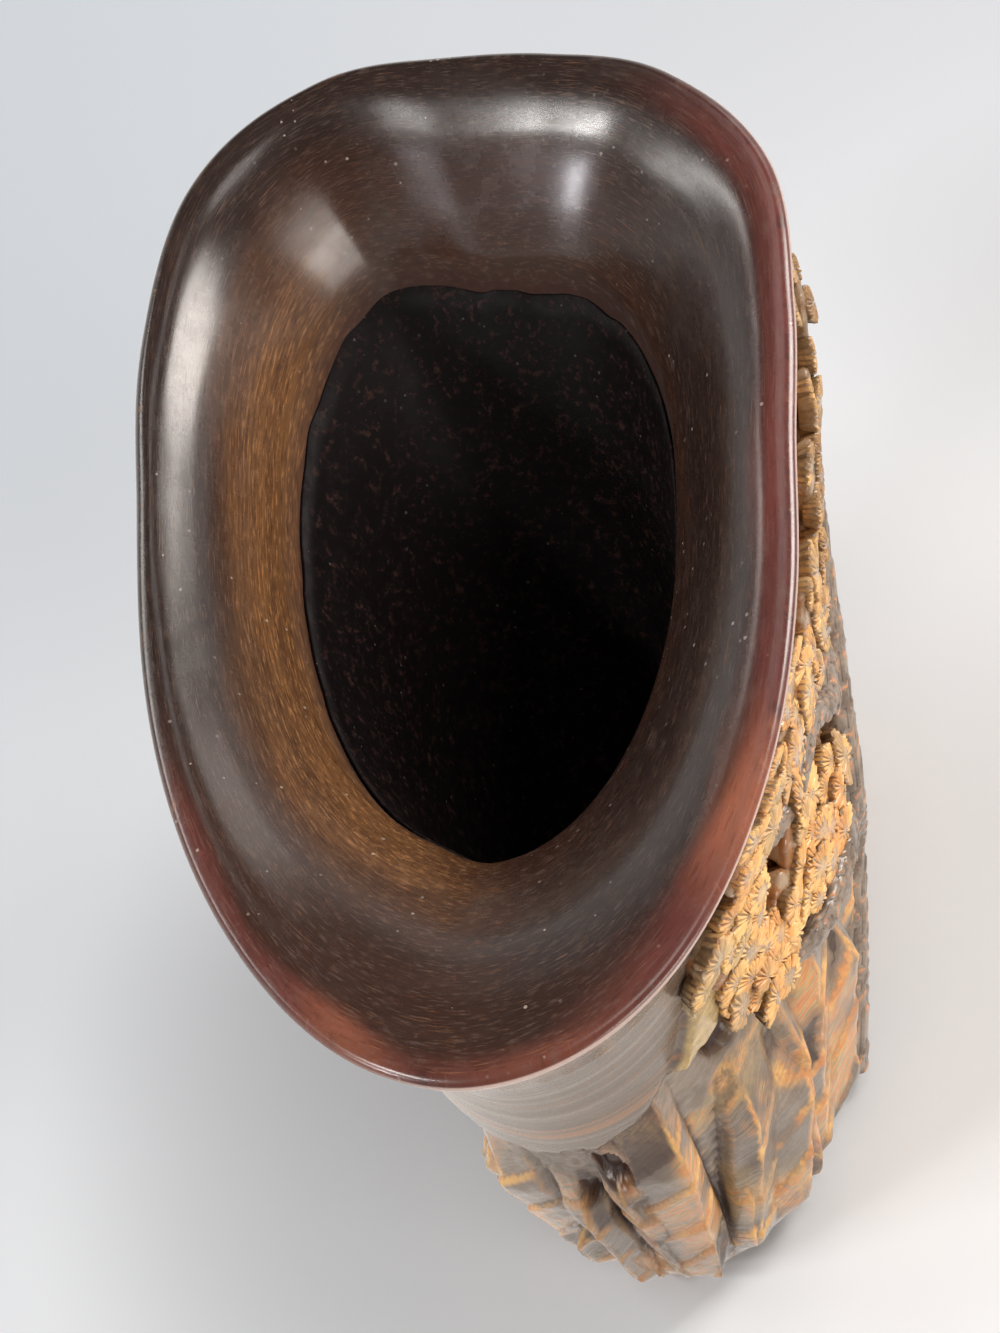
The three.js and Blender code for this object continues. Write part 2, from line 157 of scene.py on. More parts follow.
def turn_between(start: Array | float, end: Array | float) -> Array:
    """Turn from one angle to another, between minus and plus half a turn."""
    return np.mod(np.asarray(end) - start + FULL_TURN / 2, FULL_TURN) - FULL_TURN / 2


def patch_noise(angle: Array, height: Array, cells: int, cell: float, seed: int) -> Array:
    """Smooth random field round the cup: random corner values, eased between neighbours.

    Args:
        angle: Angles.
        height: Heights in millimetres.
        cells: Number of cells round a full turn.
        cell: Height of a cell in millimetres.
        seed: Seed of the corner values.

    Returns:
        Values from -1 to 1.
    """
    corners = np.random.default_rng(seed).uniform(-1.0, 1.0, (cells, 64))
    u = np.mod(angle, FULL_TURN) / FULL_TURN * cells
    v = np.clip(height / cell + 1.0, 0.0, 62.0)
    u0, v0 = np.floor(u).astype(int), np.floor(v).astype(int)
    fu, fv = ease(0.0, 1.0, u - u0), ease(0.0, 1.0, v - v0)
    left, right = u0 % cells, (u0 + 1) % cells
    low = blend(corners[left, v0], corners[right, v0], fu)
    high = blend(corners[left, v0 + 1], corners[right, v0 + 1], fu)
    return blend(low, high, fv)


@dataclass
class Shell:
    """One closed surface, or several, with point attributes.

    Attributes:
        points: Vertices in millimetres.
        quads: Four vertex numbers a face.
        triangles: Three vertex numbers a face.
        marks: Named values, one a vertex, or three a vertex.
    """

    points: Array
    quads: Array
    triangles: Array
    marks: dict[str, Array]

    @staticmethod
    def from_rings(rings: Array, marks: dict[str, Array], closed: bool) -> "Shell":
        """Surface through rings of equal count.

        Each face joins two neighbours on a ring with the same two on the next ring. A closed
        one joins the last ring to the first; any other gets a middle point over each end.

        Args:
            rings: Points as rows by steps by 3.
            marks: Attribute values as rows by steps, or rows by steps by 3.
            closed: Whether the rings close on themselves.

        Returns:
            The surface.
        """
        rows, steps = rings.shape[:2]
        number = np.arange(rows * steps).reshape(rows, steps)
        low = number if closed else number[:-1]
        high = np.roll(number, -1, 0) if closed else number[1:]
        corners = [low, np.roll(low, -1, 1), np.roll(high, -1, 1), high]
        quads = np.stack(corners, -1).reshape(-1, 4)
        points = rings.reshape(-1, 3)
        flat = {name: value.reshape((rows * steps,) + value.shape[2:]) for name, value in marks.items()}
        if closed:
            return Shell(points, quads, np.zeros((0, 3), int), flat)
        middles = np.stack([rings[0].mean(0), rings[-1].mean(0)])
        first, last = number[0], number[-1]
        bottom = np.stack([np.full(steps, rows * steps), np.roll(first, -1), first], -1)
        top = np.stack([np.full(steps, rows * steps + 1), last, np.roll(last, -1)], -1)
        for name, value in flat.items():
            ends = [value[first].mean(0, keepdims=True), value[last].mean(0, keepdims=True)]
            flat[name] = np.concatenate([value, *ends])
        return Shell(np.concatenate([points, middles]), quads, np.concatenate([bottom, top]), flat)

    @staticmethod
    def joined(shells: Sequence["Shell"]) -> "Shell":
        """Several surfaces as one, each keeping its own vertices."""
        starts = np.cumsum([0] + [len(shell.points) for shell in shells[:-1]])
        return Shell(
            np.concatenate([shell.points for shell in shells]),
            np.concatenate([shell.quads + start for shell, start in zip(shells, starts)]),
            np.concatenate([shell.triangles + start for shell, start in zip(shells, starts)]),
            {name: np.concatenate([shell.marks[name] for shell in shells]) for name in shells[0].marks},
        )

    def to_object(self, name: str, material: Material) -> Object:
        """Puts the surface into a mesh object at the origin, in metres.

        Args:
            name: The object's name.
            material: Its material.

        Returns:
            The new object.
        """
        mesh = bpy.data.meshes.new(name)
        mesh.vertices.add(len(self.points))
        mesh.vertices.foreach_set("co", (self.points * MM).astype(np.float32).ravel())
        loops = np.concatenate([self.quads.ravel(), self.triangles.ravel()])
        sizes = np.concatenate([np.full(len(self.quads), 4), np.full(len(self.triangles), 3)])
        mesh.loops.add(len(loops))
        mesh.loops.foreach_set("vertex_index", loops.astype(np.int32))
        mesh.polygons.add(len(sizes))
        mesh.polygons.foreach_set("loop_start", (np.cumsum(sizes) - sizes).astype(np.int32))
        mesh.polygons.foreach_set("use_smooth", np.ones(len(sizes), bool))
        mesh.update(calc_edges=True)
        mesh.validate()
        for mark, value in self.marks.items():
            kind, key = ("FLOAT_VECTOR", "vector") if value.ndim == 2 else ("FLOAT", "value")
            layer = mesh.attributes.new(mark, kind, "POINT")
            layer.data.foreach_set(key, value.astype(np.float32).ravel())
        mesh.materials.append(material)
        obj = bpy.data.objects.new(name, mesh)
        bpy.context.scene.collection.objects.link(obj)
        return obj


@dataclass(frozen=True)
class WallPlace:
    """A place on the plain wall: its point, the ways round and up, and the outward normal."""

    origin: Array
    around: Array
    up: Array
    normal: Array


@dataclass(frozen=True)
class CupForm:
    """The cup's plain form, in millimetres, with outlines and profiles as shares."""

    mouth_length: float = 140.0
    mouth_width: float = 86.0
    mouth_height: float = 95.6
    mouth_rise: float = 6.5
    mouth_dip: float = 2.7
    mouth_lean: float = 20.0
    rim_thickness: float = 3.2
    foot_length: float = 76.0
    foot_width: float = 48.0
    foot_edge: float = 1.6
    throat_length: float = 89.0
    throat_width: float = 50.5
    throat_forward: float = 8.0
    throat_aside: float = 1.9
    lip_fall: float = 16.0
    throat_round: float = 2.4
    hollow_length: float = 46.0
    hollow_width: float = 27.0
    hollow_forward: float = 4.0
    ledge_height: float = 8.3
    bank_thickness: float = 5.2
    oval_top_share: float = 0.25
    mouth_shares: Table = (
        (0, .99), (22, 1.085), (45, 1.185), (62, 1.115), (80, 1), (100, .96), (135, .95), (165, .98),
        (180, .995), (210, 1), (235, .963), (255, .937), (272, .944), (287, 1.025), (302, 1.13),
        (320, 1.088), (340, 1))
    throat_shares: Table = (
        (0, .935), (15, 1.035), (30, 1.15), (55, 1.16), (90, 1.035), (120, .96), (160, .92),
        (180, .96), (240, .955), (270, .965), (300, 1.04), (320, 1.02), (345, .93))
    grip_shares: Table = ((0, 0), (.2, .13), (.45, .29), (.7, .38), (.83, .5), (.93, .75), (1, 1))
    spout_shares: Table = ((0, 0), (.2, .13), (.42, .38), (.6, .62), (.78, .83), (.9, .93), (1, 1))
    side_shares: Table = (
        (0, 0), (.2, .12), (.45, .27), (.65, .36), (.8, .47), (.9, .63), (.96, .8), (1, 1))
    lip_shares: Table = ((0, 0), (.12, .015), (.4, .2), (.75, .62), (1, 1))
    hollow_shares: Table = ((0, 0), (.12, .16), (.3, .38), (.6, .7), (1, 1))
    bank_shares: Row = (292.0, 78.0, .06, .5, .84, .97)

    @property
    def body_radius(self) -> float:
        """Mean radius of the wall, which turns an angle into a length round it."""
        return (self.foot_length + self.foot_width + self.mouth_length + self.mouth_width) / 8

    def rim_height(self, x: Array, y: Array) -> Array:
        """Height of the rim over a place in plan.

        It climbs evenly to the pouring end, stands a little up at both ends with the square
        of the way along, and dips at the sides with the square of the way across.
        """
        along, across = (x - self.mouth_lean) / (self.mouth_length / 2), y / (self.mouth_width / 2)
        return self.mouth_height + self.mouth_rise * along + self.mouth_dip * (along**2 - across**2) / 2

    def mouth_plan(self, angle: Array) -> tuple[Array, Array]:
        """Plan of the mouth's outline: an oval whose radius follows the mouth's shares."""
        share, turn = around_curve(self.mouth_shares, angle) / 2, np.radians(angle)
        return (self.mouth_lean + self.mouth_length * share * np.cos(turn),
                self.mouth_width * share * np.sin(turn))

    def bank(self, angle: Array, share: Array) -> Array:
        """Thicker horn on the side of the main pine, eased out round the cup and up it.

        Args:
            angle: Angles.
            share: Height shares.

        Returns:
            Millimetres out of the plain wall.
        """
        middle, reach, low, full, fade, high = self.bank_shares
        around = 1 - ease(0.0, reach, np.abs(turn_between(middle, angle)))
        return self.bank_thickness * around * (ease(low, full, share) - ease(fade, high, share))

    def wall(self, angle: Array, share: Array, proud: Array | float) -> Array:
        """Outer wall: level ovals that run from the foot's size to the mouth's.

        Each end and the sides follow a rising curve of the height share, the outline turns
        from the plain oval into the mouth's, and proud moves it out along the oval's normal.

        Args:
            angle: Angles.
            share: Height shares.
            proud: Millimetres out of the plain wall.

        Returns:
            Points in millimetres, one more axis than angle.
        """
        angle, share = np.broadcast_arrays(np.asarray(angle, float), np.asarray(share, float))
        half_foot, half_mouth = self.foot_length / 2, self.mouth_length / 2
        grip = blend(-half_foot, self.mouth_lean - half_mouth, rising_curve(self.grip_shares, share))
        spout = blend(half_foot, self.mouth_lean + half_mouth, rising_curve(self.spout_shares, share))
        side = blend(self.foot_width / 2, self.mouth_width / 2, rising_curve(self.side_shares, share))
        length = (spout - grip) / 2
        top = ease(self.oval_top_share, 1.0, share)
        shape = 1 + (around_curve(self.mouth_shares, angle) - 1) * top
        cos, sin = np.cos(np.radians(angle)), np.sin(np.radians(angle))
        out_x, out_y = cos / length, sin / side
        size = np.hypot(out_x, out_y)
        move = (proud + self.bank(angle, share)) / size
        x = (grip + spout) / 2 + length * shape * cos + out_x * move
        y = side * shape * sin + out_y * move
        return np.stack([x, y, share * self.rim_height(*self.mouth_plan(angle))], -1)

    def place(self, angle: float, share: float) -> WallPlace:
        """Place on the plain wall, with its directions from small steps round and up it.

        Args:
            angle: Angle in degrees.
            share: Height share.

        Returns:
            The place.
        """
        origin, step = self.wall(angle, share, 0.0), 0.025
        around = unit(self.wall(angle + 1.0, share, 0.0) - origin)
        rise = self.wall(angle, share + step, 0.0) - self.wall(angle, share - step, 0.0)
        normal = unit(np.cross(around, rise))
        return WallPlace(origin, around, np.cross(normal, around), normal)

    def lip(self, angle: Array, share: Array, inset: float) -> Array:
        """Lip from the mouth's outline to the throat's.

        In plan it runs straight from one outline to the other, and it falls below the rim's
        height by the lip's curve.

        Args:
            angle: Angles.
            share: Way from the rim at 0 to the throat at 1.
            inset: Millimetres inside the outline where the lip starts.

        Returns:
            Points in millimetres.
        """
        angle, share = np.broadcast_arrays(np.asarray(angle, float), np.asarray(share, float))
        mouth_x, mouth_y = self.mouth_plan(angle)
        throat, turn = around_curve(self.throat_shares, angle), np.radians(angle)
        throat_x = self.mouth_lean + self.throat_forward + self.throat_length / 2 * throat * np.cos(turn)
        throat_y = self.throat_aside + self.throat_width / 2 * throat * np.sin(turn)
        way = blend(inset / np.hypot(mouth_x - throat_x, mouth_y - throat_y), 1.0, share)
        x, y = blend(mouth_x, throat_x, way), blend(mouth_y, throat_y, way)
        fall = self.lip_fall * rising_curve(self.lip_shares, share)
        return np.stack([x, y, self.rim_height(x, y) - fall], -1)

    def hollow(self, angle: Array, share: Array, inset: float) -> Array:
        """Hollow's wall from the throat at 0 to the ledge over the plug at 1.

        Ovals shrink from the throat's size to the floor's by the hollow's curve, while their
        middles run evenly back over the foot.

        Args:
            angle: Angles.
            share: Way down the hollow.
            inset: Millimetres towards the middle.

        Returns:
            Points in millimetres.
        """
        angle, share = np.broadcast_arrays(np.asarray(angle, float), np.asarray(share, float))
        way, turn = rising_curve(self.hollow_shares, share), np.radians(angle)
        throat = blend(around_curve(self.throat_shares, angle), 1.0, way)
        length = blend(self.throat_length, self.hollow_length, way) / 2 * throat - inset
        width = blend(self.throat_width, self.hollow_width, way) / 2 * throat - inset
        x = blend(self.mouth_lean + self.throat_forward, self.hollow_forward, share) + length * np.cos(turn)
        y = blend(self.throat_aside, 0.0, share) + width * np.sin(turn)
        top = self.lip(angle, np.ones_like(share), 0.0)[..., 2] - self.throat_round
        return np.stack([x, y, blend(top, self.ledge_height, share)], -1)


@dataclass(frozen=True)
class Rock:
    """A rock that climbs the wall from the foot and leans to one side.

    Attributes:
        foot: Its angle at the foot.
        top: Its angle at the top.
        reach: Height share of its top.
        breadth: Share of the full breadth.
        proud: Share of the full height out of the ground.
        lean: How much broader one flank is, from -1 to 1.
    """

    foot: float
    top: float
    reach: float
    breadth: float
    proud: float
    lean: float


@dataclass(frozen=True)
class Field:
    """Carving over the wall, with a value or three for each place.

    Attributes:
        proud: Millimetres out of the plain wall.
        carved: 1 on carved horn, and 0 on the plain neck and at the foot's edge.
        ridge: Closeness to a rock's edge.
        needle: Where a low fan stands.
        strokes: Where strokes are cut.
        facet: Chance of each facet, and -1 in the pits.
        spot: Place from the middle of its fan as shares of its radius, with needle third.
        lines: Directions of the strokes.
    """

    proud: Array
    carved: Array
    ridge: Array
    needle: Array
    strokes: Array
    facet: Array
    spot: Array
    lines: Array


@dataclass(frozen=True)
class Carving:
    """Relief carved into the wall: rocks round the foot, and low fans of needles above.

    Lengths are in millimetres and angles in degrees. Even rocks, the far ones and the low
    ones, have their count, first angle, turn to the next and turn to their top, and take
    their tops, breadths, prouds and leans in turn from rows of shares. A pit has an angle, a
    height share and a radius. The block has an angle, a height share, its reach in degrees
    and its rise as a share. A band of strokes runs from one angle and height share to
    another, and its last value is its half breadth.
    """

    form: CupForm
    depth: float = 2.0
    edge: float = 1.1
    foot_band: float = 7.0
    rock_proud: float = 5.4
    rock_breadth: float = 21.0
    taper: float = 0.45
    crest: float = 0.25
    ledge: float = 11.0
    shoulder: float = 0.22
    side_share: float = 0.5
    edge_breadth: float = 0.27
    strokes_over: float = 0.6
    pockets_under: float = 0.24
    pocket_depth: float = 1.1
    fan_radius: float = 3.3
    fan_rise_share: float = 0.048
    fan_turn: float = 6.6
    fan_areas: Table = ((212, 340, .53, .89), (24, 138, .52, .78))
    fan_gap: Row = (200, 229, .79)
    block_top: float = 3.6
    pit_depth: float = 2.2
    border_shares: Table = (
        (0, .72), (30, .8), (75, .8), (110, .72), (150, .6), (192, .6), (208, .68), (222, .86),
        (260, .9), (310, .9), (335, .78))
    near_rocks: Table = (
        (152, 150, .5, 1, .8, .35), (170, 172, .46, .8, .9, -.4), (181, 184, .58, .9, .8, .45),
        (190, 201, .62, 1.1, 1, -.45), (202, 219, .5, 1, .8, .4), (216, 233, .42, .85, 1, -.35),
        (230, 243, .58, 1, .75, .4), (246, 254, .42, .9, 1, -.3), (262, 268, .5, 1, .7, .45),
        (280, 288, .44, .9, .95, -.4))
    leans: Row = (.4, -.35, .25)
    even_rocks: tuple[tuple[Row, Row, Row, Row], ...] = (
        ((9, 300.0, 24.0, 7.0), (.58, .36, .5, .42, .66, .4, .54), (1.05, .8, 1, .9, 1.15),
         (.85, 1, .7, .92)),
        ((15, 8.0, 24.0, 9.0), (.24, .4, .3, .48, .2, .36), (.5, .38, .6, .44), (.9, .7, .8)))
    pits: Table = (
        (221, .575, 5.5), (230, .645, 2), (235, .565, 3), (246, .66, 2.6), (262, .6, 2.8), (279, .7, 2.6),
        (283, .56, 3), (300, .63, 3), (118, .6, 3), (101, .6, 2.6), (84, .62, 2.8),
        (66, .64, 2.4), (48, .66, 2.4), (330, .62, 2.6), (12, .6, 2.6), (185, .5, 3.4),
        (174, .4, 3), (142, .52, 2.4))
    block: Row = (213.0, 0.7, 6.0, 0.04)
    bands: Table = ((198, .46, 221, .38, .045), (205, .2, 214, .28, .04))

    def offset(self, angle: Array, share: Array, middle: float, level: float) -> list[Array]:
        """Millimetres round and up the wall from a place on it."""
        around = np.radians(turn_between(middle, angle)) * self.form.body_radius
        return [around, (share - level) * self.form.mouth_height]

    def rocks(self) -> list[Rock]:
        """Rocks of the near side, then even turns of far and low ones with cycling shares.

        Returns:
            The rocks.
        """
        found = [Rock(*row) for row in self.near_rocks]
        for (count, start, turn, sweep), tops, breadths, prouds in self.even_rocks:
            for at in range(count):
                angle, lean = start + turn * at, self.leans[at % len(self.leans)]
                found.append(Rock(
                    angle, angle + sweep * np.sign(lean), tops[at % len(tops)],
                    breadths[at % len(breadths)], prouds[at % len(prouds)], lean))
        return found

    def rock_height(self, rock: Rock, angle: Array, share: Array) -> tuple[Array, ...]:
        """One rock: flat planes that meet at an edge near its middle, with hatched sides.

        Its sides rise steeply to a shoulder, and two planes lean from the shoulders to the
        ridge. Slanting ledges break the planes into facets, each with a chance of its own.
        Facets of high chance have strokes, and those of low chance are pockets, as deep as
        the sine of the way up them.

        Args:
            rock: The rock.
            angle: Angles.
            share: Height shares.

        Returns:
            Height over the ground in millimetres, closeness to an edge, the strokes, the
            chance of each facet and the directions of its lines.
        """
        along = share / rock.reach
        middle = rock.foot + turn_between(rock.foot, rock.top) * along
        across = np.radians(turn_between(middle, angle)) * self.form.body_radius
        across = across + (0.5 * np.sin(along * 6.0 + rock.foot)
                           + 0.25 * np.sin(along * 17.0 + rock.top)) * (1 - along)
        half = self.rock_breadth / 2 * rock.breadth * (1 - self.taper * np.clip(along, 0, 1))
        raw = np.clip(1 - np.abs(across) / (half * (1 + rock.lean * np.sign(across))), 0, 1)
        crest = np.clip((1 - along) / self.crest, 0, 1)
        side = np.clip(raw / self.shoulder, 0, 1)
        plane = np.clip((raw - self.shoulder) / (1 - self.shoulder), 0, 1)
        form = self.side_share * side + (1 - self.side_share) * plane
        level = share * self.form.mouth_height
        slant = np.where(np.mod(np.round(rock.foot), 2) > 0, 0.75, -0.6)
        uneven = patch_noise(angle, level, 20, 13.0, 12 + int(rock.foot) % 7)
        step = (level + slant * across + 1.7 * rock.foot) / self.ledge + 0.3 * uneven
        ledge, rise = np.floor(step), step - np.floor(step)
        chance = np.mod(np.sin(rock.foot * 12.99 + ledge * 78.23 + np.sign(across) * 3.7) * 437.58, 1.0)
        fade = np.minimum(crest * 2, 1)
        strokes = (chance > self.strokes_over) * ease(0.05, 0.2, raw) * fade
        cut = (0.3 + 0.4 * chance) * (rise * (1 - ease(0.9, 1.0, rise)) - 0.45) * ease(0.0, 0.3, raw)
        pocket = np.sin(np.pi * rise) * ease(0.05, 0.4, raw) * (1 - ease(0.8, 0.98, raw))
        cut = cut - self.pocket_depth * (chance < self.pockets_under) * pocket
        height = self.rock_proud * rock.proud * crest * form + cut * crest
        thin = self.edge_breadth / np.maximum(half, 1.0)
        bend = 0.4 * ease(1.3 * thin, 0.4 * thin, np.abs(raw - self.shoulder))
        edge = np.maximum(ease(1 - 2.0 * thin, 1 - 0.5 * thin, raw), bend)
        edge = np.maximum(edge, 0.8 * ease(0.84, 0.9, rise) * ease(0.1, 0.3, raw) * (chance > 0.3))
        lines = np.stack([level + slant * across, across - slant * level, chance * 40], -1)
        return height, edge * fade, strokes, chance, lines

    def fan_places(self) -> list[tuple[float, float, float]]:
        """Places of the low fans: staggered rows over both pines, each a little off its place.

        Returns:
            An angle, a height share and a size as a share for each fan.
        """
        chance = np.random.default_rng(11)
        gap_start, gap_end, gap_top = self.fan_gap
        found = []
        for start, end, low, high in self.fan_areas:
            for row, share in enumerate(np.arange(low, high, self.fan_rise_share)):
                for angle in np.arange(start + self.fan_turn / 2 * (row % 2), end, self.fan_turn):
                    if gap_start < angle < gap_end and share < gap_top:
                        continue
                    moved = angle + chance.uniform(-1.6, 1.6)
                    found.append((moved, share + chance.uniform(-.014, .014), chance.uniform(.75, 1.2)))
        return found

    def fan_height(self, angle: Array, share: Array) -> tuple[Array, Array]:
        """Low fans: shallow domes that overlap, each as high as one less the cube of the way out.

        Args:
            angle: Angles.
            share: Height shares.

        Returns:
            Height over the ground in millimetres, and each place from the middle of its fan
            as a share of the fan's radius.
        """
        height, spot = np.zeros_like(angle), np.full(angle.shape + (2,), 9.0)
        for at, (middle, level, size) in enumerate(self.fan_places()):
            x, y = self.offset(angle, share, middle, level)
            radius = self.fan_radius * size
            near = (np.abs(x) < 2 * radius) & (np.abs(y) < 2 * radius)
            local = np.stack([x[near], y[near]], -1) / radius
            reach = np.hypot(local[:, 0], local[:, 1])
            dome = np.clip((1.3 + 0.3 * (at % 3)) * (1 - reach**3), 0, None)
            old = np.hypot(spot[near][:, 0], spot[near][:, 1])
            better = (dome > height[near]) | ((height[near] <= 0) & (reach < old))
            spots, heights = spot[near], height[near]
            spots[better], heights[better] = local[better], dome[better]
            spot[near], height[near] = spots, heights
        return height, spot

    def block_mask(self, angle: Array, share: Array) -> Array:
        """Rough flat-topped block by the end of the neck: 1 on its top and 0 off it.

        Args:
            angle: Angles.
            share: Height shares.

        Returns:
            The mask.
        """
        middle, level, reach, rise = self.block
        across = np.abs(turn_between(middle + 60 * (share - level), angle)) / reach
        return ease(1.15, 0.9, across) * ease(1.15, 0.9, np.abs(share - level) / rise)

    def band_mask(self, angle: Array, share: Array) -> Array:
        """Slanting bands of strokes: 1 along a band's middle and 0 past its edges and ends.

        Args:
            angle: Angles.
            share: Height shares.

        Returns:
            The mask.
        """
        found = np.zeros_like(angle)
        for start, low, end, level, reach in self.bands:
            way = turn_between(start, angle) / (end - start)
            beside = np.abs(share - blend(low, level, way)) / reach
            found = np.maximum(found, ease(1.2, 0.7, beside) * ease(1.25, 1.0, np.abs(2 * way - 1)))
        return found

    def pit_mask(self, angle: Array, share: Array) -> Array:
        """Uneven pits: the distance from a pit's middle, skewed and made uneven by patches.

        Args:
            angle: Angles.
            share: Height shares.

        Returns:
            The mask, 1 in the pits.
        """
        uneven = 0.45 * patch_noise(angle, share * self.form.mouth_height, 80, 3.5, 5)
        found = np.zeros_like(angle)
        for middle, level, radius in self.pits:
            x, y = self.offset(angle, share, middle, level)
            edge = np.hypot(x * 1.3 + 0.3 * y, y * 0.9) / radius + uneven
            found = np.maximum(found, ease(1.1, 0.6, edge))
        return found

    def field(self, angle: Array, share: Array) -> Field:
        """Whole relief: the highest form at each place, over textured ground with pits.

        The ground's texture is a sine of the height, bent by patches, with finer patches.

        Args:
            angle: Angles.
            share: Height shares.

        Returns:
            The relief and its masks.
        """
        height_mm = share * self.form.mouth_height
        high, ridge, strokes = np.zeros_like(angle), np.zeros_like(angle), np.zeros_like(angle)
        facet, lines = np.full_like(angle, 0.5), np.stack([height_mm, angle * 0.7, angle * 0], -1)
        for rock in self.rocks():
            lift, crest, cuts, chance, rows = self.rock_height(rock, angle, share)
            above = lift > high
            lines = np.where(above[..., None], rows, lines)
            high, ridge, strokes, facet = (
                np.where(above, new, old) for new, old in (
                    (lift, high), (crest, ridge), (cuts, strokes), (chance, facet)))
        strokes = np.maximum(strokes, self.band_mask(angle, share))
        fan, spot = self.fan_height(angle, share)
        over = fan > high
        ground = ease(0.9, 0.1, np.maximum(high, fan))
        swirl = np.sin(2 * np.pi * height_mm / 2.3 + 2.2 * patch_noise(angle, height_mm, 60, 5.0, 3))
        rough = 0.16 * swirl + 0.3 * patch_noise(angle, height_mm, 150, 2.0, 4)
        high = np.maximum(high, fan) + rough * ground
        block, pit = self.block_mask(angle, share), self.pit_mask(angle, share)
        high = blend(high, self.block_top + 0.18 * patch_noise(angle, height_mm, 240, 0.9, 9), block)
        high = blend(high, np.minimum(high - self.pit_depth, 0.2), pit)
        high = high + 0.1 * patch_noise(angle, height_mm, 220, 1.4, 6)
        plain = (1 - block) * (1 - ease(0.1, 0.5, pit)) * ~over
        border = around_curve(self.border_shares, angle) + 0.012 * patch_noise(angle, height_mm, 70, 9, 8)
        inside = ease(0.0, self.foot_band / self.form.mouth_height, share)
        inside = inside * ease(border, border - self.edge / self.form.mouth_height, share)
        needle = np.where(over, ease(0.1, 0.5, fan), 0)
        return Field(
            inside * (high - self.depth), inside, ridge * plain, needle, strokes * plain,
            blend(facet, -1.0, pit), np.concatenate([spot, needle[..., None]], -1), lines)


def around_blur(values: Array, reach: int) -> Array:
    """Mean over neighbours: round the cup it wraps, and at the top and bottom it holds.

    Args:
        values: Values as rows up the cup by steps round it.
        reach: Number of neighbours on each side.

    Returns:
        The means.
    """
    count, rows = 2 * reach + 1, len(values)
    total = sum(np.roll(values, step, 1) for step in range(-reach, reach + 1)) / count
    padded = np.pad(total, ((reach, reach), (0, 0)), mode="edge")
    return sum(padded[step:step + rows] for step in range(count)) / count


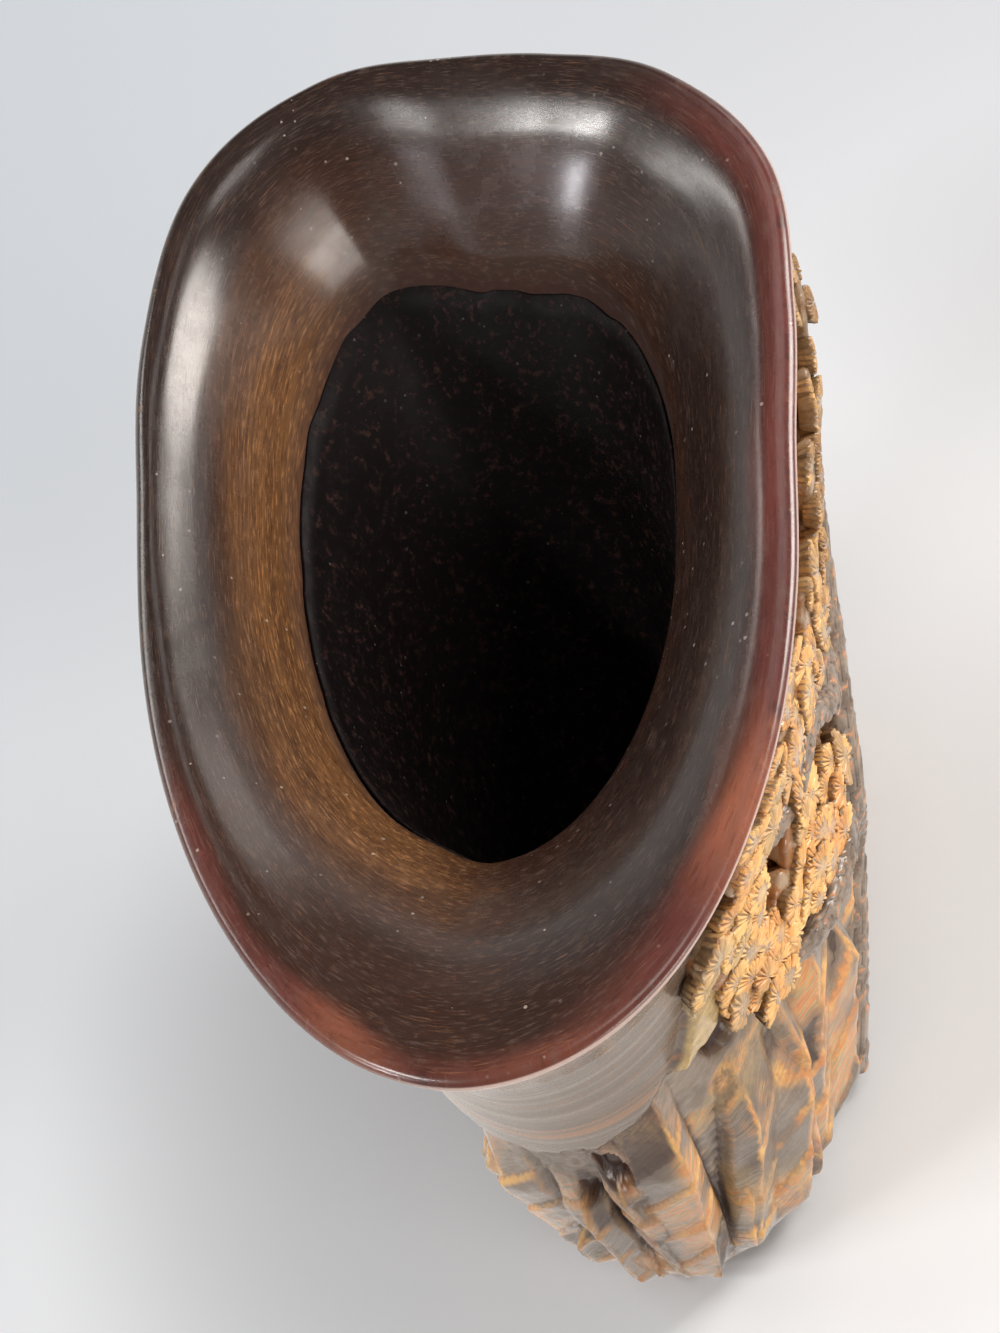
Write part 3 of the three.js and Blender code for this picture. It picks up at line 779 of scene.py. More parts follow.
@dataclass
class HornBody:
    """The horn: foot, carved wall, rim, lip, rolled throat, hollow and plug rebate.

    Lengths are in millimetres. The rim's ways are how far each of its rows counts as lip, and
    below 0 a row is part of the painted highlight line under the rim. A dip has its middle, its
    reach beyond and before it in degrees, and its depth. Honey spots have an angle and a height
    share. A glow has its middle, its reach and its strength. A lip zone is a row of its
    middle, the turns from it at which it is full and gone, the ways between which it comes
    up, and its strength.
    """

    form: CupForm
    carving: Carving
    steps: int = 520
    wall_rows: int = 122
    rim_ways: Row = (-.03, -.02, 0, 0, 0, 0)
    lip_rows: int = 34
    lip_end: float = 0.955
    throat_rows: int = 6
    hollow_rows: int = 8
    hollow_start: float = 0.045
    plug_border: float = 8.5
    fit_gap: float = 0.3
    turning_pitch: float = 2.6
    dips: Table = ((354, 17, 25, .36), (78, 25, 22, .45))
    honey_spots: Table = ((215, .146), (229, .358), (165, .26), (284, .2))
    glows: Table = ((229, 16, .95), (192, 24, .4), (160, 14, .75))
    # Amber on the far side of the throat: partly the horn's tone, partly painted light.
    lit_amber_zones: Table = ((106, 45, 86, .45, .84, 1),)
    red_zones: Table = ((258, 42, 72, .3, .05, 1), (178, 50, 80, .15, .02, .85))
    brown_zones: Table = (
        (20, 45, 85, .25, .65, 1), (165, 30, 60, .68, .9, .5), (300, 60, 90, .8, .97, .7),
        (150, 25, 50, .85, .6, .7))

    def oval(self, turn: Array, inset: float, height: float) -> Array:
        """Level oval about the foot's middle, a given distance inside the foot's edge."""
        angle, half = np.radians(turn), np.array([self.form.foot_length, self.form.foot_width]) / 2 - inset
        return np.stack([half[0] * np.cos(angle), half[1] * np.sin(angle), np.full_like(turn, height)], -1)

    @staticmethod
    def flow(angle: Array, way: Array) -> Array:
        """Direction round the cup, as a cosine and a sine, with the way along the surface."""
        return np.stack([np.cos(np.radians(angle)), np.sin(np.radians(angle)), way], -1)

    def wall_part(self, turn: Array) -> tuple[Array, dict[str, Array]]:
        """Carved wall from the foot's edge to under the rim, with its masks.

        The plain neck has low rings, a sine of the height, and fine patches.

        Args:
            turn: Angles.

        Returns:
            Rows of points in millimetres, and values for each point by name.
        """
        form = self.form
        low, high = form.foot_edge / form.mouth_height, 1 - form.rim_thickness / form.mouth_height
        angle, share = np.broadcast_arrays(turn[None], np.linspace(low, high, self.wall_rows)[:, None])
        field = self.carving.field(angle, share)
        step = 2 * np.pi * share * form.mouth_height / self.turning_pitch
        rings = 0.012 * np.sin(step + np.radians(angle)) * ease(0.55, 0.7, share)
        neck = (1 - field.carved) * (rings + 0.03 * patch_noise(angle, share * 100, 9, 1.1, 41))
        broad = field.proud - around_blur(field.proud, 6)
        block = self.carving.block_mask(angle, share)
        zeros = np.zeros_like(angle)
        return form.wall(angle, share, field.proud + neck), {
            "flow": self.flow(angle, -share),
            "zone": np.stack([field.carved, zeros, share], -1),
            "relief": np.stack([field.proud, zeros, broad], -1),
            "form": np.stack([field.ridge, field.needle, around_blur(field.strokes, 1)], -1),
            "fan": field.spot,
            "lines": field.lines,
            "tint": self.wall_tint(angle, share, around_blur(field.facet, 1), block),
        }

    def wall_tint(self, angle: Array, share: Array, facet: Array,
                  block: Array) -> Array:
        """Where the wall is honey-coloured and mossy, and the chance of each facet.

        Honey lies over the upper wall in patches, over the near pine, and on round spots.

        Args:
            angle: Angles.
            share: Height shares.
            facet: Chance of each facet.
            block: Mask of the rough block, which is all moss.

        Returns:
            Honey, moss and the chance at each place.
        """
        height = share * 100
        honey = 0.7 * ease(-0.2, 0.5, patch_noise(angle, height, 17, 9.0, 21)) * ease(0.5, 0.66, share)
        near = ease(42.0, 24.0, np.abs(turn_between(252.0, angle)))
        honey = np.clip(honey + 0.8 * near * ease(0.48, 0.6, share), 0, 1)
        spots = ease(0.6, 0.75, patch_noise(angle, height, 30, 6.0, 24)) * ease(0.6, 0.5, share)
        honey = np.maximum(honey, 0.8 * spots)
        for middle, level in self.honey_spots:
            off = np.hypot(turn_between(middle, angle) * 0.5, height - level * 100) / 2.6
            honey = np.maximum(honey, 0.95 * ease(1.25, 0.7, off))
        moss = 0.4 * ease(0.1, 0.7, patch_noise(angle, height, 16, 9.0, 22))
        return np.stack([honey * (1 - block), np.maximum(moss, block), facet], -1)

    def lip_tint(self, angle: Array, way: Array) -> Array:
        """Where the lip is amber, red and brown.

        Amber lies along the throat on the far side, partly the horn's own tone and partly painted light
        where the lamps fall, red along the rim on the near side, and brown over the pouring end and
        round the throat.

        Args:
            angle: Angles.
            way: Way from the rim at 0 to the throat at 1.

        Returns:
            Amber, red and brown at each place.
        """
        uneven = way + 0.08 * patch_noise(angle, way * 60, 23, 8.0, 31)
        found = []
        for zones in (self.lit_amber_zones, self.red_zones, self.brown_zones):
            tint = np.zeros_like(angle)
            for middle, full, gone, low, high, strength in zones:
                around = ease(gone, full, np.abs(turn_between(middle, angle)))
                tint = np.maximum(tint, strength * around * ease(low, high, uneven))
            found.append(tint)
        return np.stack(found, -1)

    def glow(self, angle: Array) -> Array:
        """Where the red rim turns orange: short runs at the grip's near side and elsewhere."""
        return np.max([share * ease(reach, 0.0, np.abs(turn_between(middle, angle)))
                       for middle, reach, share in self.glows], axis=0)

    def rim_part(self, turn: Array) -> list[Array]:
        """Rounded rim: rows on a quarter turn from the mouth's outline to the lip's start.

        Args:
            turn: Angles.

        Returns:
            Rows of points in millimetres, the first of them drawn down towards the wall.
        """
        form, count = self.form, len(self.rim_ways)
        under = form.wall(turn, np.full_like(turn, 1 - form.rim_thickness / form.mouth_height), 0.0)
        outer = form.wall(turn, np.ones_like(turn), 0.0)
        outer[:, 2] = form.rim_height(outer[:, 0], outer[:, 1])
        inner = form.lip(turn, np.zeros_like(turn), form.rim_thickness / 2)
        rows = []
        for row in range(1, count + 1):
            bow = np.pi / 2 * row / count
            place = blend(outer, inner, 1 - np.cos(bow))
            place[:, 2] = outer[:, 2] - form.rim_thickness / 2 * (1 - np.sin(bow))
            rows.append(blend(under, place, 0.75) if row == 1 else place)
        return rows

    def lip_part(self, turn: Array) -> tuple[list[Array], list[float]]:
        """Lip from the rim to where the throat's roll starts, lowered a little at the dips.

        Args:
            turn: Angles.

        Returns:
            Rows of points in millimetres, and the way of each.
        """
        dip = np.zeros_like(turn)
        for middle, above, below, depth in self.dips:
            beyond = turn_between(middle, turn)
            dip = dip + depth * ease(above, 0.0, beyond) * ease(below, 0.0, -beyond)
        rows, ways = [], []
        for row in range(1, self.lip_rows + 1):
            share = self.lip_end * (row / self.lip_rows) ** 0.9
            place = self.form.lip(turn, np.full_like(turn, share), self.form.rim_thickness / 2)
            place[:, 2] -= dip * ease(0.02, 0.2, share) * ease(0.95, 0.7, share)
            rows.append(place)
            ways.append(share)
        return rows, ways

    def inner_part(self, turn: Array) -> tuple[Array, dict[str, Array]]:
        """Rounded rim, lip, rolled throat and hollow, with their masks.

        The throat's roll is a curve of second degree from the lip's last row to the hollow's
        first, drawn towards the corner where they would meet.

        Args:
            turn: Angles.

        Returns:
            Rows of points in millimetres, and values for each point by name.
        """
        form = self.form
        lip, ways = self.lip_part(turn)
        rows, ways = self.rim_part(turn) + lip, list(self.rim_ways) + ways
        start, corner = rows[-1], form.lip(turn, np.ones_like(turn), form.rim_thickness / 2)
        deep = form.hollow(turn, np.full_like(turn, self.hollow_start), 0.0)
        for row in range(1, self.throat_rows + 1):
            way = row / self.throat_rows
            rows.append((1 - way) ** 2 * start + 2 * way * (1 - way) * corner + way**2 * deep)
            ways.append(self.lip_end + 0.12 * way)
        for row in range(1, self.hollow_rows + 1):
            share = self.hollow_start + (1 - self.hollow_start) * row / self.hollow_rows
            rows.append(form.hollow(turn, np.full_like(turn, share), 0.0))
            ways.append(1.1 + share)
        angle, way = np.broadcast_arrays(turn[None], np.array(ways)[:, None])
        zeros = np.zeros_like(angle)
        marks = {name: np.stack([zeros] * 3, -1) for name in ("relief", "form", "fan", "lines")}
        marks["flow"] = self.flow(angle, way)
        marks["zone"] = np.stack([zeros, np.ones_like(angle), self.glow(angle)], -1)
        marks["tint"] = self.lip_tint(angle, way)
        return np.stack(rows), marks

    def build(self, material: Material) -> Object:
        """Makes the horn as one closed surface of rings, which end where they started.

        Args:
            material: Its material.

        Returns:
            The new object.
        """
        turn = np.arange(self.steps) * FULL_TURN / self.steps
        wall, wall_marks = self.wall_part(turn)
        inner, inner_marks = self.inner_part(turn)
        border, edge = self.plug_border - self.fit_gap, self.form.foot_edge
        foot = [self.oval(turn, inset, height) for inset, height in (
            (border, 0.0), (border / 2, 0.0), (edge, 0.0), (edge * 0.3, 0.45))]
        ledge = self.oval(turn, border, self.form.ledge_height)
        marks = {
            name: np.concatenate([np.repeat(value[:1], len(foot), 0), value,
                                  inner_marks[name], inner_marks[name][-1:]])
            for name, value in wall_marks.items()}
        rings = np.concatenate([np.stack(foot), wall, inner, ledge[None]])
        return Shell.from_rings(rings, marks, closed=True).to_object("carved_horn", material)


@dataclass
class Lining:
    """Near-black skin in the hollow, open at the top, with a ragged top edge."""

    form: CupForm
    steps: int = 240
    rows: int = 30
    thickness: float = 1.1
    drop: float = 1.5
    ragged_share: float = 0.006
    fit_gap: float = 0.3

    def build(self, material: Material) -> Object:
        """Makes the skin from its outer and inner sides, joined at the top.

        Args:
            material: Its material.

        Returns:
            The new object.
        """
        form, down = self.form, np.linspace(0.0, 1.0, self.rows)
        turn = np.arange(self.steps) * FULL_TURN / self.steps
        top = self.drop / (form.mouth_height - form.lip_fall - form.ledge_height)
        top = top + self.ragged_share * patch_noise(turn, np.zeros_like(turn), 60, 9.0, 41)
        floor = form.ledge_height + self.fit_gap
        rows = [self.skin(turn, blend(top, 1.0, at), self.fit_gap, floor) for at in down[::-1]]
        for at in down:
            inset = self.fit_gap + self.thickness * min(1.0, 0.35 + at * 6)
            rows.append(self.skin(turn, blend(top, 1.0, at), inset, floor + self.thickness))
        return Shell.from_rings(np.stack(rows), {}, closed=False).to_object("hollow_lining", material)

    def skin(self, turn: Array, share: Array, inset: float, floor: float) -> Array:
        """One ring of the skin, no lower than the floor."""
        ring = self.form.hollow(turn, share, inset)
        return np.stack([ring[:, 0], ring[:, 1], np.maximum(ring[:, 2], floor)], -1)


@dataclass
class Plug:
    """Oval plug in the foot, with a bevel at its lower edge and a shallow dish in its face."""

    form: CupForm
    steps: int = 200
    face_rows: int = 16
    border: float = 8.5
    thickness: float = 8.0
    bevel: float = 0.8
    dish: float = 0.25

    def build(self, material: Material) -> Object:
        """Makes the plug as ovals from the middle of its face to its top.

        Args:
            material: Its material.

        Returns:
            The new object.
        """
        form, bevel = self.form, self.bevel
        turn = np.radians(np.arange(self.steps) * FULL_TURN / self.steps)
        shares = np.linspace(0.1, 0.96, self.face_rows)
        rows = [(bevel, share, self.dish * ease(0.95, 0.75, share)) for share in shares]
        rows += [(bevel, 1, 0), (bevel * 0.3, 1, bevel * 0.3), (0, 1, bevel), (0, 1, self.thickness)]
        rings = [
            np.stack([
                (form.foot_length / 2 - self.border - inset) * share * np.cos(turn),
                (form.foot_width / 2 - self.border - inset) * share * np.sin(turn),
                np.full_like(turn, height)], -1)
            for inset, share, height in rows]
        return Shell.from_rings(np.stack(rings), {}, closed=False).to_object("foot_plug", material)


@dataclass
class Stem:
    """A trunk or branch: a tapered tube that climbs over the wall, with scales of bark.

    Attributes:
        form: The cup's form.
        stations: Rows of (angle, height share, shares of the radius out of the wall).
        radius: Radius at its foot in millimetres.
        name: Name of the object.
        node: CAD node that it stands for.
        knot_places: Share of its length and angle in radians of each knot.
    """

    form: CupForm
    stations: Table
    radius: float
    name: str
    node: str
    around: int = 60
    along: int = 210
    taper: float = 0.45
    bark: float = 0.45
    knot_places: Table = ((0.3, 1.2), (0.56, 2.0), (0.78, 1.0))

    def build(self, material: Material) -> Object:
        """Sweeps rings along a smooth curve through the stations.

        Args:
            material: Its material.

        Returns:
            The new object.
        """
        path, side, out = self.course()
        length = np.concatenate([[0], np.cumsum(np.linalg.norm(np.diff(path, axis=0), axis=1))])
        turn = np.arange(self.around) * 2 * np.pi / self.around
        along, turn = np.meshgrid(length, turn, indexing="ij")
        share = along / length[-1]
        size = self.radius * (1 - self.taper * share)
        scale, knots = self.scales(along, turn), self.knots(along, turn, size)
        ends = np.minimum(ease(0.0, 0.012, share) + 0.4, ease(1.0, 0.985, share) + 0.3)
        radius = (size + self.bark * size / self.radius * (scale - 0.5 + 0.5 * knots)) * np.clip(ends, 0, 1)
        points = (
            path[:, None] + side[:, None] * (radius * np.cos(turn))[..., None]
            + out[:, None] * (radius * np.sin(turn))[..., None])
        marks = {"bark": np.stack([scale, share, np.clip(knots, -1, 1)], -1)}
        return Shell.from_rings(points, marks, closed=False).to_object(self.name, material)

    def course(self) -> tuple[Array, Array, Array]:
        """Middles of the rings, and each ring's own ways to the side and out of the wall.

        Returns:
            Points in millimetres, and two directions of unit length for each.
        """
        rows = np.array(self.stations)
        places = [self.form.place(angle, share) for angle, share, _ in rows]
        centres = np.array([p.origin + p.normal * row[2] * self.radius for p, row in zip(places, rows)])
        at = np.linspace(0, len(rows) - 1, self.along)
        path = self.smooth(centres, at)
        out = self.smooth(np.array([place.normal for place in places]), at)
        tangent = unit(np.gradient(path, axis=0))
        side = unit(np.cross(out, tangent))
        return path, side, np.cross(tangent, side)

    def scales(self, along: Array, turn: Array) -> Array:
        """Scales in staggered rows, bent by sines of the way along and of the angle.

        A scale's height rises evenly along it and falls at its sides and its far edge.

        Args:
            along: Millimetres along the stem.
            turn: Angles round it in radians.

        Returns:
            Height of the scales, from 0 to 1.
        """
        pitch = 0.5 * self.radius + 1.1
        level = along / pitch + 0.35 * np.sin(3 * turn + 1.3 * np.sin(along / 5))
        level = level + 0.45 * np.sin(along / (1.3 * pitch) + turn) + 0.3 * np.sin(along / (0.8 * pitch))
        row = np.floor(level)
        cell = turn * 7 / (2 * np.pi) + 0.5 * np.mod(row, 2)
        u, v = np.mod(cell, 1) - 0.5, level - row
        return ease(0.5, 0.28, np.abs(u)) * (0.35 + 0.65 * v) * ease(1.0, 0.86, v)

    def knots(self, along: Array, turn: Array, size: Array) -> Array:
        """Knots: a raised ring round a hollow, each a bell curve of the distance.

        Args:
            along: Millimetres along the stem.
            turn: Angles round it in radians.
            size: Its radius in millimetres.

        Returns:
            Height of the knots, below 0 in their hollows.
        """
        found = np.zeros_like(along)
        for place, facing in self.knot_places:
            reach = np.hypot(along - place * along[-1, 0], (turn - facing) * size) / (size * 0.75)
            found += 0.9 * np.exp(-(((reach - 0.75) / 0.3) ** 2)) - 0.9 * np.exp(-((reach / 0.4) ** 2))
        return found

    @staticmethod
    def smooth(values: Array, at: Array) -> Array:
        """Cubic curve through rows of values, with each slope taken from its neighbours.

        Args:
            values: Rows of three values.
            at: Row numbers where the curve is read, with parts of a row.

        Returns:
            Three values at each place.
        """
        slopes = np.gradient(values, axis=0)
        low = np.clip(np.floor(at).astype(int), 0, len(values) - 2)
        return cubic(values[low], values[low + 1], slopes[low], slopes[low + 1], (at - low)[:, None])


@dataclass
class Cluster:
    """A cluster of pine needles: small wheels that overlap over broad bases.

    Attributes:
        form: The cup's form.
        at: Its number, which seeds its chance.
        angle: Angle of its middle in degrees.
        share: Height share of its middle.
        count: Number of broad bases.
    """

    form: CupForm
    at: int
    angle: float
    share: float
    count: int
    radius: float = 6.2
    proud: float = 3.8
    root: float = 2.3
    small: float = 2.9
    spread: float = 12.0
    stray: float = 0.9
    needles: int = 21
    steps: int = 132
    rows: int = 7
    sizes: Row = (1.0, 0.84, 0.9)
    clusters: int = 17

    def build(self, material: Material) -> Object:
        """Makes the broad bases, then small wheels in staggered rows over them.

        Args:
            material: Its material.

        Returns:
            The new object.
        """
        chance, spread, stray = np.random.default_rng(100 + self.at), self.spread, self.stray
        bases = []
        for wheel, size in enumerate(self.sizes[:self.count]):
            turn = (wheel * 2 / len(self.sizes) + self.at / self.clusters) * np.pi
            reach = 0.0 if wheel == 0 else self.radius * (1 if wheel % 2 else -1)
            bases.append((reach * np.cos(turn), reach * np.sin(turn), self.radius * size))
        shells = [self.base(x, y, radius, chance) for x, y, radius in bases]
        pitch = self.small * 1.3
        for row, y in enumerate(np.arange(-spread, spread, pitch * 0.87)):
            for x in np.arange(-spread + pitch / 2 * (row % 2), spread, pitch):
                u, v = x + chance.uniform(-stray, stray), y + chance.uniform(-stray, stray)
                depth = max(radius - np.hypot(u - bx, v - by) for bx, by, radius in bases)
                if depth > 0.9:
                    shells.append(self.wheel(u, v, min(depth / 5.0, 1.0), chance))
        return Shell.joined(shells).to_object(f"pine_needles_{self.at + 1}", material)

    def local(self, x: float, y: float) -> WallPlace:
        """Place on the wall some millimetres round and up from the cluster's middle."""
        return self.form.place(
            self.angle + np.degrees(x / self.form.body_radius), self.share + y / self.form.mouth_height)

    def base(self, x: float, y: float, radius: float, chance: np.random.Generator) -> Shell:
        """A low boss that roots the wheels in the wall, with waves of two lengths in its side.

        Args:
            x: Millimetres round the wall from the cluster's middle.
            y: Millimetres up the wall.
            radius: Its radius in millimetres.
            chance: Chance numbers.

        Returns:
            The closed boss.
        """
        place = self.local(x, y)
        turn = np.arange(self.steps) * 2 * np.pi / self.steps
        wave = 1 + 0.05 * np.sin(5 * turn + chance.uniform(0, 6)) + 0.03 * np.sin(11 * turn)
        top = self.proud - 1.5
        rows = [(0.55, -self.root, 0.0), (0.72, 0.2, 0.0), (0.86, top - 0.9, 0.1), (0.84, top - 0.3, 0.2),
                (0.7, top, 0.2), (0.35, top + 0.1, 0.2)]
        rings = [
            place.origin + (share * radius * wave * np.cos(turn))[:, None] * place.around
            + (share * radius * wave * np.sin(turn))[:, None] * place.up + height * place.normal
            for share, height, _ in rows]
        shade = chance.uniform()
        marks = np.stack([
            np.stack([np.full_like(turn, mark), np.full_like(turn, 0.9), np.full_like(turn, shade)], -1)
            for *_, mark in rows])
        return Shell.from_rings(np.stack(rings), {"needle": marks}, closed=False)

    def wheel(self, x: float, y: float, inside: float, chance: np.random.Generator) -> Shell:
        """One small wheel: a polished middle, and blunt needles that run out to its rim.

        A needle is a rounded ridge: one less the cube of the way across it. Needles differ in
        length, and each wheel leans a little to a side of its own.

        Args:
            x: Millimetres round the wall from the cluster's middle.
            y: Millimetres up the wall.
            inside: How far it is from the cluster's edge, from 0 to 1.
            chance: Chance numbers.

        Returns:
            The closed wheel.
        """
        place = self.local(x, y)
        turn = np.arange(self.steps) * 2 * np.pi / self.steps
        count = self.needles + int(chance.integers(-2, 3))
        phase = turn * count / (2 * np.pi)
        number = np.mod(np.floor(phase).astype(int), count)
        across = np.abs(phase - np.floor(phase) - 0.5) * 2
        ridge = np.clip(1 - (across / 0.7) ** 3, 0, 1)
        start = chance.uniform(0.15, 0.6)
        begin = np.clip(chance.uniform(start - 0.15, start + 0.15, count), 0.12, 0.75)[number]
        end = chance.uniform(0.8, 1.04, count)[number]
        lift = chance.uniform(-0.12, 0.12, count)[number]
        radius = self.small * chance.uniform(0.7, 1.35)
        top = self.proud - 0.9 * (1 - inside) - chance.uniform(0.0, 0.8)
        facing = chance.uniform(0, 2 * np.pi)
        tilt = -chance.uniform(0.03, 0.22)
        shade = chance.uniform()
        rim = radius * end * (1 + 0.1 * np.sin(2 * turn + 6 * shade))
        # Each row has its reach, its height, its share of the grooves, and how far out its colour lies;
        # past 1.1 that gives the wheel's side its painted shade.
        profile = [(0.8, -2.2, 0.0, 1.9), (0.97, -0.75, 0.0, 1.9), (1.0, -0.42, 0.8, 1.35)]
        faces = [1 - 0.92 * row / (self.rows - 1) for row in range(self.rows)]
        profile += [(face, -0.3 * face**2, 1.0, face) for face in faces]
        rings, marks = [], []
        for out, height, upper, seen in profile:
            strokes = ease(begin - 0.06, begin + 0.1, np.full_like(turn, out))
            u, v = rim * out * np.cos(turn), rim * out * np.sin(turn)
            groove = (0.3 * (1 - ridge) - 0.15 * ridge) * strokes * upper
            level = top + height - groove + lift * out + tilt * (u * np.cos(facing) + v * np.sin(facing))
            rings.append(
                place.origin + u[:, None] * place.around + v[:, None] * place.up
                + level[:, None] * place.normal)
            light = ridge * strokes if upper == 1.0 else ridge
            marks.append(np.stack([light, np.full_like(turn, seen), np.full_like(turn, shade)], -1))
        return Shell.from_rings(np.stack(rings), {"needle": np.stack(marks)}, closed=False)


def paint(colour: Colour) -> Row:
    """Colour as seen on a screen, from 0 to 255, as the linear colour that shaders use.

    A dark part is divided by 12.92, and any other is raised to the power of 2.4.

    Args:
        colour: Red, green and blue.

    Returns:
        The three from 0 to 1, and 1 for full cover.
    """
    screen = np.array(colour) / 255
    linear = np.where(screen <= 0.04045, screen / 12.92, ((screen + 0.055) / 1.055) ** 2.4)
    return (*(float(part) for part in linear), 1.0)


class Signal:
    """Output of a shader node, with its sums, products, smooth steps and noises."""

    def __init__(self, graph: "Graph", socket: NodeSocket) -> None:
        """Keeps the output and its graph."""
        self.graph, self.socket = graph, socket

    def __add__(self, other: "Value") -> "Signal":
        """Sum."""
        return self.graph.math("ADD", self, other)

    def __sub__(self, other: "Value") -> "Signal":
        """Difference."""
        return self.graph.math("SUBTRACT", self, other)

    def __rsub__(self, other: float) -> "Signal":
        """Difference from a number."""
        return self.graph.math("SUBTRACT", other, self)

    def __mul__(self, other: "Value") -> "Signal":
        """Product."""
        return self.graph.math("MULTIPLY", self, other)

    def most(self, other: "Value") -> "Signal":
        """Greater of the two."""
        return self.graph.math("MAXIMUM", self, other)

    def band(self, low: float, high: float, start: float = 0.0, end: float = 1.0) -> "Signal":
        """Smooth step from start to end, as the value goes from low to high."""
        inputs = {"Value": self, "From Min": low, "From Max": high, "To Min": start, "To Max": end}
        return self.graph.add("ShaderNodeMapRange", inputs, interpolation_type="SMOOTHSTEP")

    def noise(self, scale: "Value", detail: float = 3.0, rough: float = 0.55) -> "Signal":
        """Noise at a place."""
        inputs = {"Vector": self, "Scale": scale, "Detail": detail, "Roughness": rough}
        return self.graph.add("ShaderNodeTexNoise", inputs)

    def stretch(self, x: float, y: float, z: float) -> "Signal":
        """Place with each axis times a number."""
        return self.graph.add("ShaderNodeVectorMath", {0: self, 1: (x, y, z)}, operation="MULTIPLY")

    def split(self) -> list["Signal"]:
        """Three parts of a place or colour."""
        parts = self.graph.node("ShaderNodeSeparateXYZ", {0: self}).outputs
        return [Signal(self.graph, part) for part in parts]


Value = float | int | tuple | Signal


class Graph:
    """Adds and joins shader nodes in one tree."""

    def __init__(self, tree: NodeTree) -> None:
        """Keeps the tree."""
        self.tree = tree

    def put(self, socket: NodeSocket, value: Value) -> None:
        """Gives an input its value.

        Args:
            socket: An input of a node.
            value: A node's output, a plain value, or a screen colour of three numbers.
        """
        if isinstance(value, Signal):
            self.tree.links.new(value.socket, socket)
        elif socket.type == "RGBA" and len(value) == 3:
            socket.default_value = paint(value)
        else:
            socket.default_value = value

    def node(self, kind: str, inputs: dict[str | int, Value], **settings: object) -> Node:
        """Adds a node.

        Args:
            kind: The node's type name.
            inputs: Values or outputs, by input name or number.
            settings: The node's own options.

        Returns:
            The node.
        """
        node = self.tree.nodes.new(kind)
        for key, value in settings.items():
            setattr(node, key, value)
        for key, value in inputs.items():
            self.put(node.inputs[key], value)
        return node

    def add(self, kind: str, inputs: dict[str | int, Value], output: int | str = 0,
            **settings: object) -> Signal:
        """Adds a node and gives one of its outputs."""
        return Signal(self, self.node(kind, inputs, **settings).outputs[output])

    def math(self, operation: str, first: Value, second: Value = 0.0) -> Signal:
        """Result of an operation on two values."""
        return self.add("ShaderNodeMath", {0: first, 1: second}, operation=operation)

    def mix(self, way: Value, first: Value, second: Value) -> Signal:
        """Mix of two colours: the first at way 0 and the second at way 1."""
        return self.add("ShaderNodeMix", {0: way, 6: first, 7: second}, 2, data_type="RGBA")

    def join(self, x: Signal, y: Signal, z: Signal) -> Signal:
        """Place from its three parts."""
        return self.add("ShaderNodeCombineXYZ", {0: x, 1: y, 2: z})

    def vector(self, name: str) -> Signal:
        """A point attribute as a vector."""
        return self.add("ShaderNodeAttribute", {}, "Vector", attribute_name=name)

    def place(self) -> Signal:
        """Place on the piece in metres."""
        return self.add("ShaderNodeTexCoord", {}, "Object")

    def bump(self, height: Signal, strength: float, reach: float, **under: Signal) -> Signal:
        """Normal bent by a height of reach millimetres for 1, over another Normal if one is given."""
        inputs = {"Height": height, "Strength": strength, "Distance": reach * MM, **under}
        return self.add("ShaderNodeBump", inputs)

    def use(self, group: NodeTree, *values: Value) -> Signal:
        """Mask of a shared effect, with the values of its inputs in order."""
        return self.add("ShaderNodeGroup", dict(enumerate(values)), node_tree=group)


